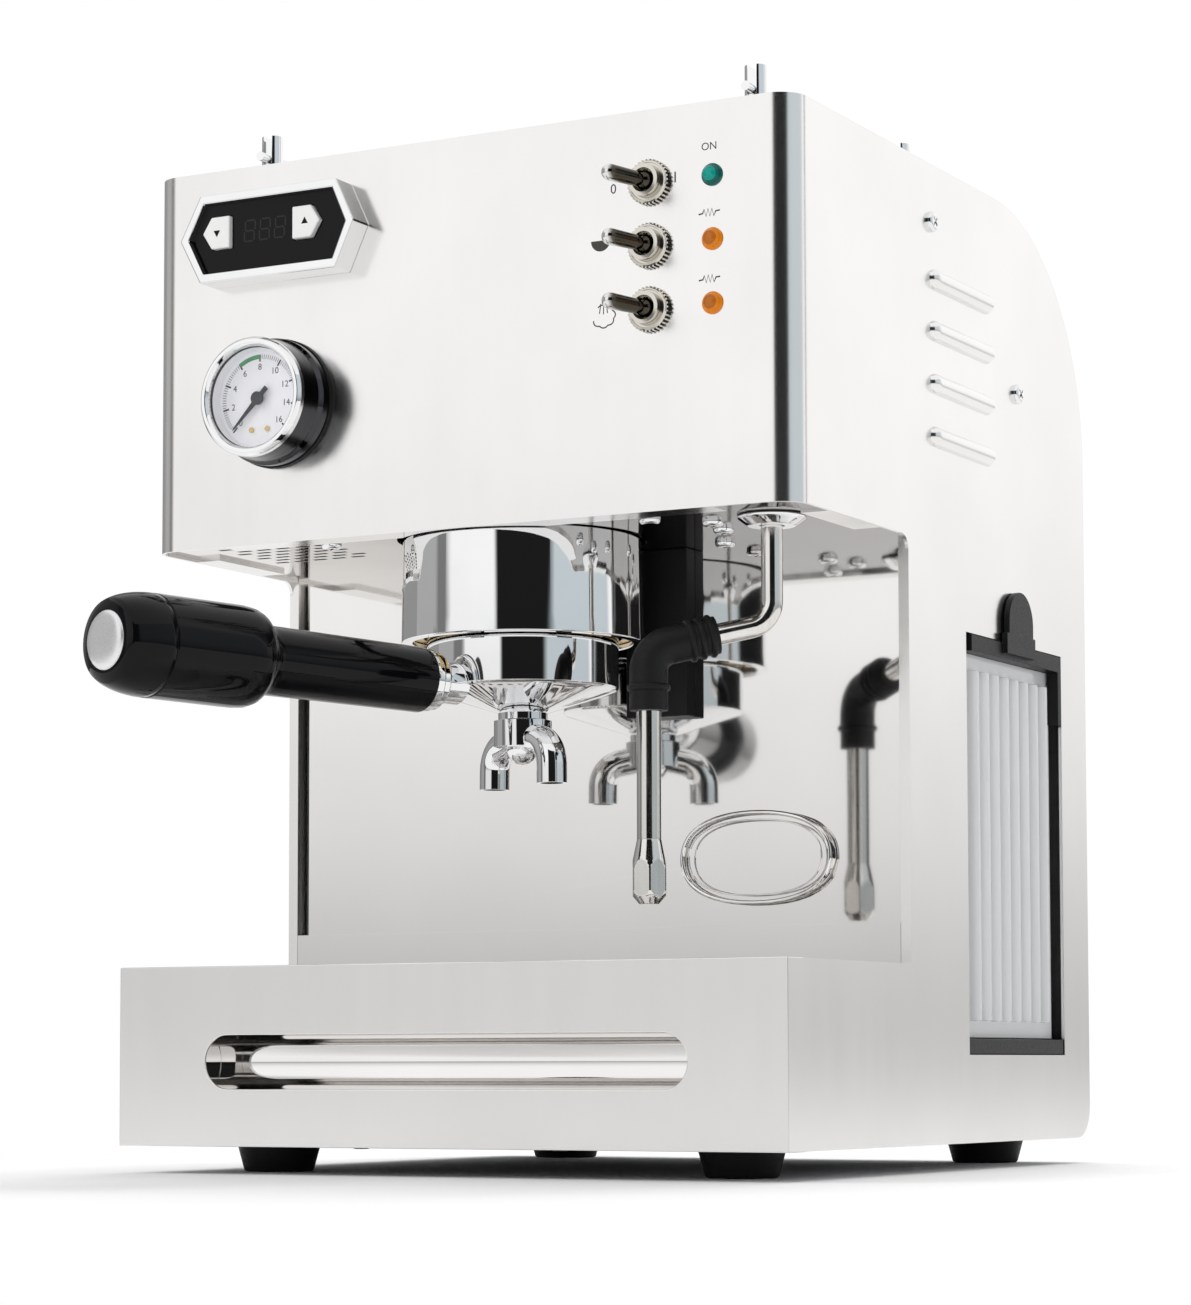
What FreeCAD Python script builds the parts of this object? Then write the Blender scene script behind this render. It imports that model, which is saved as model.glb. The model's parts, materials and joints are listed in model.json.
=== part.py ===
import FreeCAD, Part
import math
import os
import re

import Sketcher

# Espresso machine: a folded stainless casing around a brass group and boiler, with a
# bayonet portafilter, a swivelling steam wand, a sliding drip tray and a side water tank.
# X points right, Y points back from the head's front face, Z up from the bench; millimetres.

Vector = FreeCAD.Vector
Placement = FreeCAD.Placement
Rotation = FreeCAD.Rotation

doc = FreeCAD.newDocument("EspressoMachine")

# ---------------------------------------------------------------- driving sizes
SIZES = {
    # casing
    "bodyWidth": 250, "bodyDepth": 254.2, "sheet": 1.2,
    "baseBottom": 9.4, "baseTop": 70.4, "headBottom": 215.8, "headTop": 348.4,
    "groupGap": 2.7, "splashStep": 3.8, "cornerRadius": 10,
    "rearTopRadius": 85, "rearBottomRadius": 12, "cutoutRadius": 5,
    "columnLip": 3.8, "foldGap": 0.1, "flangeDepth": 11, "flangeHalf": 95,
    "slide": 0.3,
    # group and portafilter
    "groupInset": 2.2, "bellRadius": 41.8, "bellBottom": 181, "bellWall": 1.5,
    "headRadius": 39.6, "channelRadius": 37.8, "bowlRadius": 33, "bowlBottom": 165,
    "bowlTop": 192.4, "earRadius": 37.2, "earBottom": 186, "earHeight": 4,
    "neckRadius": 8.5, "neckTop": 157.2, "neckBottom": 154.8, "spoutRadius": 10,
    "spoutSpread": 18.6, "spoutBottom": 132, "spoutTube": 5.2,
    "handleHeight": 164.3, "handleTilt": 1.5, "handleTurn": 18.4, "spoutTwist": 10,
    "ferruleStart": 39.5, "ferruleEnd": 47, "ferruleRadius": 10.6,
    "neckEnd": 114, "gripRadius": 11, "bulbRadius": 16.6, "handleEnd": 174.5,
    "capRadius": 9.4,
    # steam wand
    "wandX": 100, "wandY": 34, "wandRadius": 3.6, "wandBend": 181.5,
    "elbowX": 66.7, "elbowY": 10, "elbowHeight": 172, "lowerRadius": 4,
    "tipTop": 110, "tipBottom": 88.8, "tipRadius": 6,
    # front controls
    "gaugeX": -72, "gaugeZ": 264, "gaugeRadius": 20.6, "gaugeDepth": 18,
    "switchX": 73, "switchTop": 324, "switchPitch": 21, "leverLean": 17,
    "lampX": 95.7, "leverPivot": 3.4,
    # tray
    "trayOver": 2.4, "trayFront": 12.9, "trayLip": 3.6, "slotHalf": 92, "slotLow": 28.8, "slotHigh": 47,
    "rimDrop": 4.4, "trayWall": 1, "trayLift": 5.2, "upstandTop": 84.5,
    # tank
    "tankFront": 138.3, "tankBack": 229, "windowLow": 40, "windowHigh": 188,
    "tankReach": 30, "tankWall": 2, "tankInset": 2.7, "tabTop": 206.7,
    # feet, rail, screws
    "footX": 90, "footFront": 30, "footBack": 236, "footTop": 14.5, "footBottom": 12,
    "postX": 96, "postFront": 32, "postBack": 150, "postRadius": 3.75, "postHeight": 19.1,
    "railRadius": 1.6, "screwHead": 3.6,
    # inside
    "boilerRadius": 36, "boilerTop": 300, "shelfHeight": 200, "gearGap": 11.7,
}

# Places that follow from the driving sizes: the group sets the column and all behind it.
TIED = {
    "groupY": "bellRadius + groupInset",
    "columnFront": "groupY + bellRadius + groupGap",
    "splashFront": "columnFront + splashStep",
    "gearFront": "splashFront + gearGap",
    "trayWidth": "bodyWidth + 2 * trayOver",
    "trayRim": "baseTop - rimDrop",
    "postTop": "headTop + postHeight",
}

sheet = doc.addObject("Spreadsheet::Sheet", "Sizes")
for row, (alias, number) in enumerate(SIZES.items(), 1):
    sheet.set("A%d" % row, alias)
    sheet.set("B%d" % row, str(number))
    sheet.setAlias("B%d" % row, alias)
doc.recompute()


def linked(text):
    """Expression text in which every size name refers to the sheet."""
    def cell(match):
        name = match.group()
        if name in TIED:
            return "(%s)" % linked(TIED[name])
        return "Sizes." + name if name in SIZES else name
    return re.sub(r"[A-Za-z_]\w*", cell, str(text))


def size(text):
    """Value in millimetres or degrees of an expression written with size names."""
    return float(sheet.evalExpression(linked(text)))


# ---------------------------------------------------------------- building blocks
NODES = []


def node(thing, label):
    """Marks a finished document object as a sub-part with its own label."""
    thing.Label = label
    NODES.append(thing)
    return thing


def bound(kind, **links):
    """Part primitive whose properties are bound to expressions; at=(x, y, z) places it."""
    thing = doc.addObject("Part::" + kind, kind)
    at = links.pop("at", (0, 0, 0))
    turn = links.pop("turn", None)
    if turn:
        thing.Placement = Placement(Vector(), turn)
    for name, text in links.items():
        thing.setExpression(name, linked(text))
    for name, text in zip("xyz", at):
        thing.setExpression("Placement.Base." + name, linked(text))
    return thing


AXES = {
    "x": Rotation(Vector(0, 1, 0), Vector(0, 0, 1), Vector(1, 0, 0)),
    "y": Rotation(Vector(0, 0, 1), Vector(1, 0, 0), Vector(0, 1, 0)),
    "z": Rotation(),
}


def spot(axis, start, across):
    """Start point on an axis: across holds the other two coordinates in x, y, z order."""
    place = list(across)
    place.insert("xyz".index(axis), start)
    return place


def box(x, y, z):
    """Block between (low, high) pairs along each axis."""
    return bound(
        "Box",
        Length="(%s) - (%s)" % (x[1], x[0]),
        Width="(%s) - (%s)" % (y[1], y[0]),
        Height="(%s) - (%s)" % (z[1], z[0]),
        at=(x[0], y[0], z[0]),
    )


def rod(radius, axis, start, end, across, angle=360):
    """Round bar along an axis."""
    height = "(%s) - (%s)" % (end, start)
    return bound(
        "Cylinder", Radius=radius, Height=height, Angle=angle,
        at=spot(axis, start, across), turn=AXES[axis],
    )


def cone(first, last, axis, start, end, across):
    """Tapered round bar along an axis, from the first radius to the last."""
    height = "(%s) - (%s)" % (end, start)
    return bound(
        "Cone", Radius1=first, Radius2=last, Height=height,
        at=spot(axis, start, across), turn=AXES[axis],
    )


def joined(*pieces):
    thing = doc.addObject("Part::MultiFuse", "Joined")
    thing.Shapes = list(pieces)
    return thing


def without(base, *tools):
    thing = doc.addObject("Part::Cut", "Cut")
    thing.Base = base
    thing.Tool = tools[0] if len(tools) == 1 else joined(*tools)
    return thing


def shared(base, tool):
    thing = doc.addObject("Part::Common", "Common")
    thing.Base = base
    thing.Tool = tool
    return thing


def together(*pieces):
    """Several separate solids in one node."""
    thing = doc.addObject("Part::Compound", "Group")
    thing.Links = list(pieces)
    return thing


def shaped(shape):
    """Feature that holds a shape made with Part functions."""
    thing = doc.addObject("Part::Feature", "Shape")
    thing.Shape = shape
    return thing


def plane(body, role):
    return [f for f in body.Origin.OriginFeatures if f.Role == role][0]


def outline(body, role, points, offset="0"):
    """Closed straight-sided sketch; every corner is dimensioned from the origin."""
    sketch = body.newObject("Sketcher::SketchObject", "Outline")
    sketch.AttachmentSupport = [(plane(body, role), "")]
    sketch.MapMode = "FlatFace"
    sketch.setExpression("AttachmentOffset.Base.z", linked(offset))
    spots = [Vector(size(a), size(b), 0) for a, b in points]
    count = len(points)
    for i in range(count):
        sketch.addGeometry(Part.LineSegment(spots[i], spots[(i + 1) % count]))
    for i in range(count):
        sketch.addConstraint(Sketcher.Constraint("Coincident", i, 2, (i + 1) % count, 1))
    for i, (a, b) in enumerate(points):
        across = sketch.addConstraint(Sketcher.Constraint("DistanceX", -1, 1, i, 1, spots[i].x))
        sketch.setExpression("Constraints[%d]" % across, linked(a))
        along = sketch.addConstraint(Sketcher.Constraint("DistanceY", -1, 1, i, 1, spots[i].y))
        sketch.setExpression("Constraints[%d]" % along, linked(b))
    return sketch


def turned(profile):
    """Lathe-turned body about its own Z axis from (radius, height) corners."""
    body = doc.addObject("PartDesign::Body", "Turned")
    sketch = outline(body, "XZ_Plane", profile)
    turn = body.newObject("PartDesign::Revolution", "Turn")
    turn.Profile = sketch
    turn.ReferenceAxis = (sketch, ["V_Axis"])
    turn.Angle = 360
    doc.recompute()
    return body


def padded(role, points, length, offset="0", symmetric=False, reverse=False):
    """Body with one pad of a straight-sided outline."""
    body = doc.addObject("PartDesign::Body", "Padded")
    sketch = outline(body, role, points, offset)
    pad = body.newObject("PartDesign::Pad", "Pad")
    pad.Profile = sketch
    pad.setExpression("Length", linked(length))
    pad.Midplane = symmetric
    pad.Reversed = reverse
    doc.recompute()
    return body


def fillet(body, radius, pick):
    """Rounds the edges of the body's tip that pick accepts."""
    tip = body.Tip
    names = ["Edge%d" % i for i, edge in enumerate(tip.Shape.Edges, 1) if pick(edge)]
    rounding = body.newObject("PartDesign::Fillet", "Rounding")
    rounding.Base = (tip, names)
    rounding.setExpression("Radius", linked(radius))
    doc.recompute()
    return body


def line_along(direction, near):
    """Test for straight edges along a direction whose middle satisfies near."""
    def pick(edge):
        if edge.Curve.TypeId != "Part::GeomLine":
            return False
        way = edge.tangentAt(edge.FirstParameter)
        return abs(way.dot(direction)) > 0.999 and near(edge.CenterOfMass)
    return pick


def ring_at(height, radius=None):
    """Test for circular edges of a turned body at a height (and radius)."""
    level = size(height)
    wanted = None if radius is None else size(radius)

    def pick(edge):
        if edge.Curve.TypeId != "Part::GeomCircle":
            return False
        if abs(edge.Curve.Center.z - level) > 0.01:
            return False
        return wanted is None or abs(edge.Curve.Radius - wanted) < 0.01
    return pick


def moved(thing, at=(0, 0, 0), turn=None):
    """Places a body at bound coordinates with a fixed turn."""
    if turn:
        thing.Placement = Placement(Vector(), turn)
    for name, text in zip("xyz", at):
        thing.setExpression("Placement.Base." + name, linked(text))
    return thing


def bent_wire(points, bend):
    """Straight runs through points joined by arcs of the bend radius."""
    spots = [Vector(*p) for p in points]
    edges = []
    start = spots[0]
    for before, corner, after in zip(spots, spots[1:], spots[2:]):
        back = (before - corner).normalize()
        ahead = (after - corner).normalize()
        half = back.getAngle(ahead) / 2
        reach = bend / math.tan(half)
        into = corner + back * reach
        out = corner + ahead * reach
        centre = corner + (back + ahead).normalize() * (bend / math.sin(half))
        middle = centre + (corner - centre).normalize() * bend
        edges.append(Part.LineSegment(start, into).toShape())
        edges.append(Part.Arc(into, middle, out).toShape())
        start = out
    edges.append(Part.LineSegment(start, spots[-1]).toShape())
    return Part.Wire(edges)


def tube(points, radius, bend, bore=0):
    """Round tube swept along straight runs and bends."""
    wire = bent_wire(points, bend)
    start = wire.Vertexes[0].Point
    way = Vector(*points[1]) - Vector(*points[0])

    def swept(r):
        ring = Part.Wire([Part.Circle(start, way, r).toShape()])
        return wire.makePipeShell([ring], True, False)
    solid = swept(radius)
    return solid.cut(swept(bore)) if bore else solid


halfInner = "(bodyWidth / 2 - sheet)"
ACROSS = Vector(1, 0, 0)
UPRIGHT = Vector(0, 0, 1)
LOUVRES = (308, 290, 271.5, 253)
SIDE_SCREWS = ((109.7, 327.7), (187.3, 280))

# ---------------------------------------------------------------- casing sheet metal


def build_casing():
    """Head front and both side panels: one folded sheet with inward lower flanges."""
    profile = [
        ("0", "headTop"), ("bodyDepth", "headTop"), ("bodyDepth", "baseBottom"), ("0", "baseBottom"),
        ("0", "baseTop"), ("columnFront", "baseTop"), ("columnFront", "headBottom"), ("0", "headBottom"),
    ]
    body = padded("YZ_Plane", profile, "bodyWidth", symmetric=True)
    depth = size("bodyDepth")
    top = size("headTop")
    low = size("baseBottom")
    head = size("headBottom")
    column = size("columnFront")
    fillet(body, "rearTopRadius", line_along(ACROSS, lambda c: abs(c.y - depth) + abs(c.z - top) < 0.1))
    fillet(body, "rearBottomRadius", line_along(ACROSS, lambda c: abs(c.y - depth) + abs(c.z - low) < 0.1))
    fillet(body, "cutoutRadius", line_along(ACROSS, lambda c: abs(c.y - column) + abs(c.z - head) < 0.1))
    inner = [
        ("-" + halfInner, "sheet"), (halfInner, "sheet"),
        (halfInner, "bodyDepth + 5"), ("-" + halfInner, "bodyDepth + 5"),
    ]
    hollow = body.newObject("PartDesign::Pocket", "Hollow")
    hollow.Profile = outline(body, "XY_Plane", inner, "headTop + 1")
    hollow.setExpression("Length", linked("headTop + 2"))
    doc.recompute()
    inside = size("sheet")
    fillet(body, "cornerRadius - sheet", line_along(
        UPRIGHT, lambda c: abs(c.y - inside) < 0.1 and c.z > head and abs(c.x) < size(halfInner) + 0.1))
    fillet(body, "cornerRadius", line_along(UPRIGHT, lambda c: abs(c.y) < 0.1 and c.z > head))
    front = [("-" + halfInner, "baseBottom - 1"), (halfInner, "baseBottom - 1"),
             (halfInner, "baseTop + 1"), ("-" + halfInner, "baseTop + 1")]
    mouth = body.newObject("PartDesign::Pocket", "TrayMouth")
    mouth.Profile = outline(body, "XZ_Plane", front, "1")
    mouth.setExpression("Length", linked("sheet + 2"))
    doc.recompute()
    flanges = [box(("-flangeHalf", "flangeHalf"), ("sheet / 2", "flangeDepth"),
                   ("headBottom", "headBottom + sheet"))]
    group_hole = rod("bellRadius + 1.5", "z", "headBottom - 1", "headBottom + 3", ("0", "groupY"))
    lips = []
    for side in ("-1", "1"):
        def pair(far, near):
            ends = ["%s * (%s)" % (side, far), "%s * (%s)" % (side, near)]
            return tuple(ends if side == "1" else reversed(ends))
        flanges.append(box(pair("bodyWidth / 2 - flangeDepth", "bodyWidth / 2 - sheet / 2"),
                           ("26.5", "columnFront - 20.5"), ("headBottom", "headBottom + sheet")))
        lips.append(box(pair("bodyWidth / 2 - columnLip", "bodyWidth / 2 - sheet / 2"),
                        ("columnFront", "columnFront + sheet"), ("baseTop", "headBottom - 0.01")))
    holes = [group_hole, rod("18.8", "y", "-1", "3", ("gaugeX", "gaugeZ")),
             box(("-99", "-42"), ("-1", "3"), ("309", "335")),
             box((halfInner + " - 1", "bodyWidth / 2 + 1"), ("tankFront", "tankBack"),
                 ("windowLow", "windowHigh"))]
    for i in range(3):
        level = "switchTop - switchPitch * %d" % i
        holes.append(rod("5.6", "y", "-1", "3", ("switchX", level)))
        holes.append(rod("3.3", "y", "-1", "3", ("lampX", level)))
    bumps = []
    for side in (-1, 1):
        for level in LOUVRES:
            bumps.append(louvre(side, level))
            holes.append(louvre_slot(side, level))
        for y, z in SIDE_SCREWS:
            wall = "%d * bodyWidth / 2" % side
            holes.append(rod("2", "x", wall + " - 3", wall + " + 3", (y, z)))
    return without(joined(body, *flanges, *lips, *bumps), *holes)


def louvre(side, level):
    """Half-round pressed louvre: closed front end, open rear end."""
    middle = "%d * (bodyWidth / 2 - sheet / 2)" % side
    whole = joined(rod("3.6", "y", "112", "160", (middle, str(level))),
                   bound("Sphere", Radius="3.6", at=(middle, "112", str(level))))
    keep = box(("%d * (bodyWidth / 2 - sheet / 2) - %d" % (side, 0 if side > 0 else 6),
                "%d * (bodyWidth / 2 - sheet / 2) + %d" % (side, 6 if side > 0 else 0)),
               ("100", "170"), ("%s - 5" % level, "%s + 5" % level))
    return shared(whole, keep)


def louvre_slot(side, level):
    middle = "%d * (bodyWidth / 2 - sheet / 2)" % side
    return joined(rod("2.6", "y", "112", "161", (middle, str(level))),
                  bound("Sphere", Radius="2.6", at=(middle, "112", str(level))))


node(build_casing(), "casing")


def head_plate(back, low, high):
    """Flat sheet inside the head, its front corners following the casing's folds."""
    reach = "(bodyWidth / 2 - cornerRadius)"
    corners = [rod("cornerRadius - sheet - foldGap", "z", low, high, (sign + reach, "cornerRadius"))
               for sign in ("-", "")]
    return joined(box(("-" + top_inner, top_inner), ("cornerRadius", back), (low, high)),
                  box(("-" + reach, reach), ("sheet + foldGap", "cornerRadius + 1"), (low, high)), *corners)


# Cup-warming top: flat sheet between the side panels with rows of vent slots.
top_inner = "(bodyWidth / 2 - sheet - foldGap)"
top_slots = []
for row in range(5):
    for column in range(3):
        x_low = -84 + column * 60
        y_low = 60 + row * 16
        top_slots.append(box((x_low, x_low + 48), (y_low, y_low + 4), ("headTop - 3", "headTop + 1")))
top_plate = head_plate("bodyDepth - rearTopRadius", "headTop - sheet", "headTop")
node(without(top_plate, *top_slots), "top_cover")

# Rear cover: quarter-round bend from the top, then straight down to the base.
bend_centre = ("bodyDepth - rearTopRadius", "headTop - rearTopRadius")
rear_bend = without(
    rod("rearTopRadius", "x", "-" + top_inner, top_inner, bend_centre, angle=90),
    rod("rearTopRadius - sheet", "x", "-bodyWidth", "bodyWidth", bend_centre),
)
rear_flat = box(("-" + top_inner, top_inner), ("bodyDepth - sheet", "bodyDepth"),
                ("baseBottom + rearBottomRadius", "headTop - rearTopRadius"))
rear_slots = [box((x, x + 6), ("bodyDepth - 3", "bodyDepth + 1"), (210, 245)) for x in range(-66, 67, 12)]
inlet_hole = rod("7.2", "y", "bodyDepth - 4", "bodyDepth + 4", ("-90", "36"))
node(without(joined(rear_bend, rear_flat), *rear_slots, inlet_hole), "rear_cover")

UNDER_SCREWS = ((62, 20), (78, 34.7), (74, 50.6), (-61.4, 18), (-60, 70), (60, 80))

# Underside of the head: polished plate with holes for group, valve, wand and vents.
vents = []
for row in range(7):
    for column in range(5):
        x_low = -105 + column * 8 + (row % 2) * 4
        y_low = 12 + row * 6
        vents.append(box((x_low, x_low + 5.5), (y_low, y_low + 2.4), ("headBottom", "headBottom + 4")))
under_plate = head_plate("splashFront", "headBottom + sheet", "headBottom + 2 * sheet")
node(without(under_plate, rod("bellRadius + 1.5", "z", "headBottom", "headBottom + 5", ("0", "groupY")),
             rod("6.2", "z", "headBottom", "headBottom + 5", ("wandX", "wandY")), *vents,
             *[rod("2", "z", "headBottom", "headBottom + 5", across) for across in UNDER_SCREWS]),
     "underside_plate")

# Backsplash: flat polished sheet with an oval boss, folded back under the head.
splash = box(("-" + top_inner, top_inner), ("splashFront", "splashFront + sheet"),
             ("baseBottom + sheet", "headBottom + 2 * sheet"))
oval = Part.Face(Part.Wire([Part.Ellipse(Vector(0, 0, 0), 28.5, 16).toShape()]))
oval.rotate(Vector(), Vector(1, 0, 0), 90)
oval.translate(Vector(66.4, size("splashFront") + 0.01, 108))
boss = shaped(oval.extrude(Vector(0, -1.2, 0)))
upstand_half = "(bodyWidth / 2 - columnLip - foldGap)"
upstand = box(("-" + upstand_half, upstand_half), ("columnFront", "columnFront + sheet"),
              ("baseBottom + sheet", "upstandTop"))
upstand_top = box(("-" + upstand_half, upstand_half), ("columnFront", "splashFront"),
                  ("upstandTop - sheet", "upstandTop"))
node(joined(splash, boss, upstand, upstand_top), "backsplash")

# Base pan: floor sheet with a rounded rear edge.
pan = box(("-" + top_inner, top_inner), ("4", "bodyDepth - rearBottomRadius"),
          ("baseBottom", "baseBottom + sheet"))
pan_bend = without(
    rod("rearBottomRadius", "x", "-" + top_inner, top_inner,
        ("bodyDepth - rearBottomRadius", "baseBottom + rearBottomRadius")),
    rod("rearBottomRadius - sheet", "x", "-bodyWidth", "bodyWidth",
        ("bodyDepth - rearBottomRadius", "baseBottom + rearBottomRadius")),
    box(("-bodyWidth", "bodyWidth"), ("bodyDepth - 3 * rearBottomRadius", "bodyDepth - rearBottomRadius"),
        ("0", "60")),
    box(("-bodyWidth", "bodyWidth"), ("bodyDepth - 2 * rearBottomRadius", "bodyDepth + 1"),
        ("baseBottom + rearBottomRadius", "60")),
)
BASE_SCREWS = ((-70, 52), (10, 52), (70, 60), (0, 210))
FEET = [(sx, sy) for sx in ("-footX", "footX") for sy in ("footFront", "footBack")]
pan_holes = [rod("2.2", "z", "5", "15", foot) for foot in FEET]
pan_holes += [rod("2", "z", "5", "15", across) for across in BASE_SCREWS]
node(without(joined(pan, pan_bend), *pan_holes), "base_pan")

# ---------------------------------------------------------------- feet, screws and rail
feet = []
foot_screws = []
for foot in FEET:
    feet.append(without(cone("footBottom", "footTop", "z", "0", "baseBottom", foot),
                        rod("5", "z", "-1", "4", foot), rod("2.1", "z", "3", "12", foot)))
    foot_screws.append(joined(rod("4", "z", "1.5", "4", foot), rod("2.1", "z", "4", "baseBottom + 6", foot)))
node(together(*feet), "feet")
node(together(*foot_screws), "foot_screws")


def pan_screw(axis, face, out, across):
    """Pan-head screw: domed head on a face, shank going in; out is +1 or -1 along the axis."""
    tip = "%s + %d * 2" % (face, out)
    deep = "%s - %d * 5" % (face, out)
    if out > 0:
        return joined(cone("screwHead", "screwHead - 1.2", axis, face, tip, across),
                      rod("1.9", axis, deep, face, across))
    return joined(cone("screwHead - 1.2", "screwHead", axis, tip, face, across),
                  rod("1.9", axis, face, deep, across))


screws = [pan_screw("x", "%d * bodyWidth / 2" % side, side, across)
          for side in (-1, 1) for across in SIDE_SCREWS]
screws += [pan_screw("z", "headBottom + sheet", -1, across) for across in UNDER_SCREWS]
screws += [pan_screw("z", "baseBottom", -1, across) for across in BASE_SCREWS]
node(together(*screws), "panel_screws")

posts = []
for x in ("-postX", "postX"):
    for y in ("postFront", "postBack"):
        post = rod("postRadius", "z", "headTop", "postTop", (x, y))
        slot = box(("%s - railRadius - 0.05" % x, "%s + railRadius + 0.05" % x), (y + " - 5", y + " + 5"),
                   ("postTop - 10", "postTop + 1"))
        posts.append(without(post, slot))
node(together(*posts), "rail_posts")

rail_level = size("postTop - 10 + railRadius")
rail_x = size("postX")
rail_points = [(-rail_x, 24, rail_level), (-rail_x, 168, rail_level), (rail_x, 168, rail_level),
               (rail_x, 24, rail_level)]
node(shaped(tube(rail_points, size("railRadius"), 14)), "cup_rail")

# ---------------------------------------------------------------- display
HEXAGON = [("-98", "337.6"), ("-42.5", "337.6"), ("-35.2", "322.3"), ("-42.5", "306.7"),
           ("-98", "306.7"), ("-106.3", "322.3")]
WINDOW = [("-96.6", "334.4"), ("-43.9", "334.4"), ("-38.6", "322.3"), ("-43.9", "310"),
          ("-96.6", "310"), ("-102.9", "322.3")]
bezel_block = padded("XZ_Plane", HEXAGON, "10")
bezel_opening = padded("XZ_Plane", WINDOW, "30", "-10")
node(without(bezel_block, bezel_opening), "display_bezel")

BUTTONS = {
    "button_down": [("-97.4", "324.2"), ("-93.8", "329.7"), ("-86.3", "329.7"),
                    ("-86.3", "318.6"), ("-93.8", "318.6")],
    "button_up": [("-60.5", "329.7"), ("-53", "329.7"), ("-49.4", "324.2"),
                  ("-53", "318.6"), ("-60.5", "318.6")],
}


def grown(points, by):
    """Outline points moved outwards from their middle along each axis."""
    middle_x = sum(float(a) for a, b in points) / len(points)
    middle_z = sum(float(b) for a, b in points) / len(points)
    moved_points = []
    for a, b in points:
        side = math.copysign(1, float(a) - middle_x)
        level = math.copysign(1, float(b) - middle_z) if abs(float(b) - middle_z) > 1 else 0
        moved_points.append(("%s + (%g)" % (a, by * side), "%s + (%g)" % (b, by * level)))
    return moved_points


panel_block = joined(padded("XZ_Plane", grown(WINDOW, -0.05), "7.5", "0"),
                     box(("-98", "-43"), ("-1", "24"), ("310.5", "334")))
button_holes = [padded("XZ_Plane", grown(shape, 0.3), "30", "2.5") for shape in BUTTONS.values()]
node(without(panel_block, *button_holes), "display_panel")
for name, shape in BUTTONS.items():
    node(padded("XZ_Plane", shape, "5.2", "4"), name)

# ---------------------------------------------------------------- pressure gauge
front = Rotation(ACROSS, 90)
gauge_at = ("gaugeX", "0", "gaugeZ")
bezel = turned([("18.2", "1.5"), ("22", "1.5"), ("22", "5"), ("20.9", "6.5"), ("20.9", "9"),
                ("gaugeRadius", "10"), ("gaugeRadius", "16.6"), ("19.6", "gaugeDepth"),
                ("18.2", "gaugeDepth"), ("17.3", "16.8"), ("17.3", "15.6"), ("18.2", "15.6")])
node(moved(bezel, gauge_at, front), "gauge_bezel")
seat = turned([("18.7", "0"), ("22.4", "0"), ("22.4", "1.5"), ("18.7", "1.5")])
node(moved(seat, gauge_at, front), "gauge_seat")
case = turned([("0", "-24"), ("17.5", "-24"), ("17.5", "-1.5"), ("18.1", "-1.5"), ("18.1", "14.5"),
               ("17.4", "14.5"), ("17.4", "10.5"), ("0", "10.5")])
node(moved(case, gauge_at, front), "gauge_case")
dial = turned([("1", "10.5"), ("17.2", "10.5"), ("17.2", "11.1"), ("1", "11.1")])
node(moved(dial, gauge_at, front), "gauge_dial")
lens = turned([("0", "15"), ("17.9", "15"), ("17.9", "15.6"), ("17.2", "15.6"), ("17.2", "16.4"),
               ("0", "16.4")])
node(moved(lens, gauge_at, front), "gauge_lens")
NEEDLE_ANGLE = 225
needle_shape = Part.makePolygon([Vector(-0.9, -5, 0), Vector(0.9, -5, 0), Vector(0.9, 2, 0),
                                 Vector(0.25, 14.2, 0), Vector(-0.25, 14.2, 0), Vector(-0.9, 2, 0),
                                 Vector(-0.9, -5, 0)])
needle = Part.Face(needle_shape).extrude(Vector(0, 0, 0.5))
hub = Part.makeCylinder(2.3, 1.2)
arbor = Part.makeCylinder(0.6, 1.5, Vector(0, 0, -1.5))
needle = needle.fuse([hub, arbor]).removeSplitter()
needle.rotate(Vector(), UPRIGHT, -NEEDLE_ANGLE)
needle.rotate(Vector(), ACROSS, 90)
needle.translate(Vector(size("gaugeX"), -12.2, size("gaugeZ")))
node(shaped(needle), "gauge_needle")

# ---------------------------------------------------------------- toggle switches and lamps
LEVER_BALL = 3.2
LEVER_TIP = 2.75


def toggle(pivot, way):
    """Turned toggle lever: pivot ball, stepped shaft, round tip and an upright hinge pin."""
    def spot_at(radius, along):
        return Vector(radius, 0, along)
    seam = math.sqrt(LEVER_BALL ** 2 - 1.9 ** 2)
    shoulder = 16.25
    slant = math.sqrt(0.5)
    edges = [
        Part.Arc(spot_at(0, -LEVER_BALL), spot_at(LEVER_BALL, 0), spot_at(1.9, seam)).toShape(),
        Part.makeLine(spot_at(1.9, seam), spot_at(1.9, 4.6)),
        Part.makeLine(spot_at(1.9, 4.6), spot_at(2.5, 5.2)),
        Part.makeLine(spot_at(2.5, 5.2), spot_at(LEVER_TIP, shoulder)),
        Part.Arc(spot_at(LEVER_TIP, shoulder), spot_at(LEVER_TIP * slant, shoulder + LEVER_TIP * slant),
                 spot_at(0, shoulder + LEVER_TIP)).toShape(),
        Part.makeLine(spot_at(0, shoulder + LEVER_TIP), spot_at(0, -LEVER_BALL)),
    ]
    lever = Part.Face(Part.Wire(edges)).revolve(Vector(), UPRIGHT, 360)
    lever.Placement = Placement(pivot, Rotation(UPRIGHT, way))
    pin = Part.makeCylinder(0.8, 7.2, pivot - UPRIGHT * 3.6)
    return lever.fuse(pin)


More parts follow.
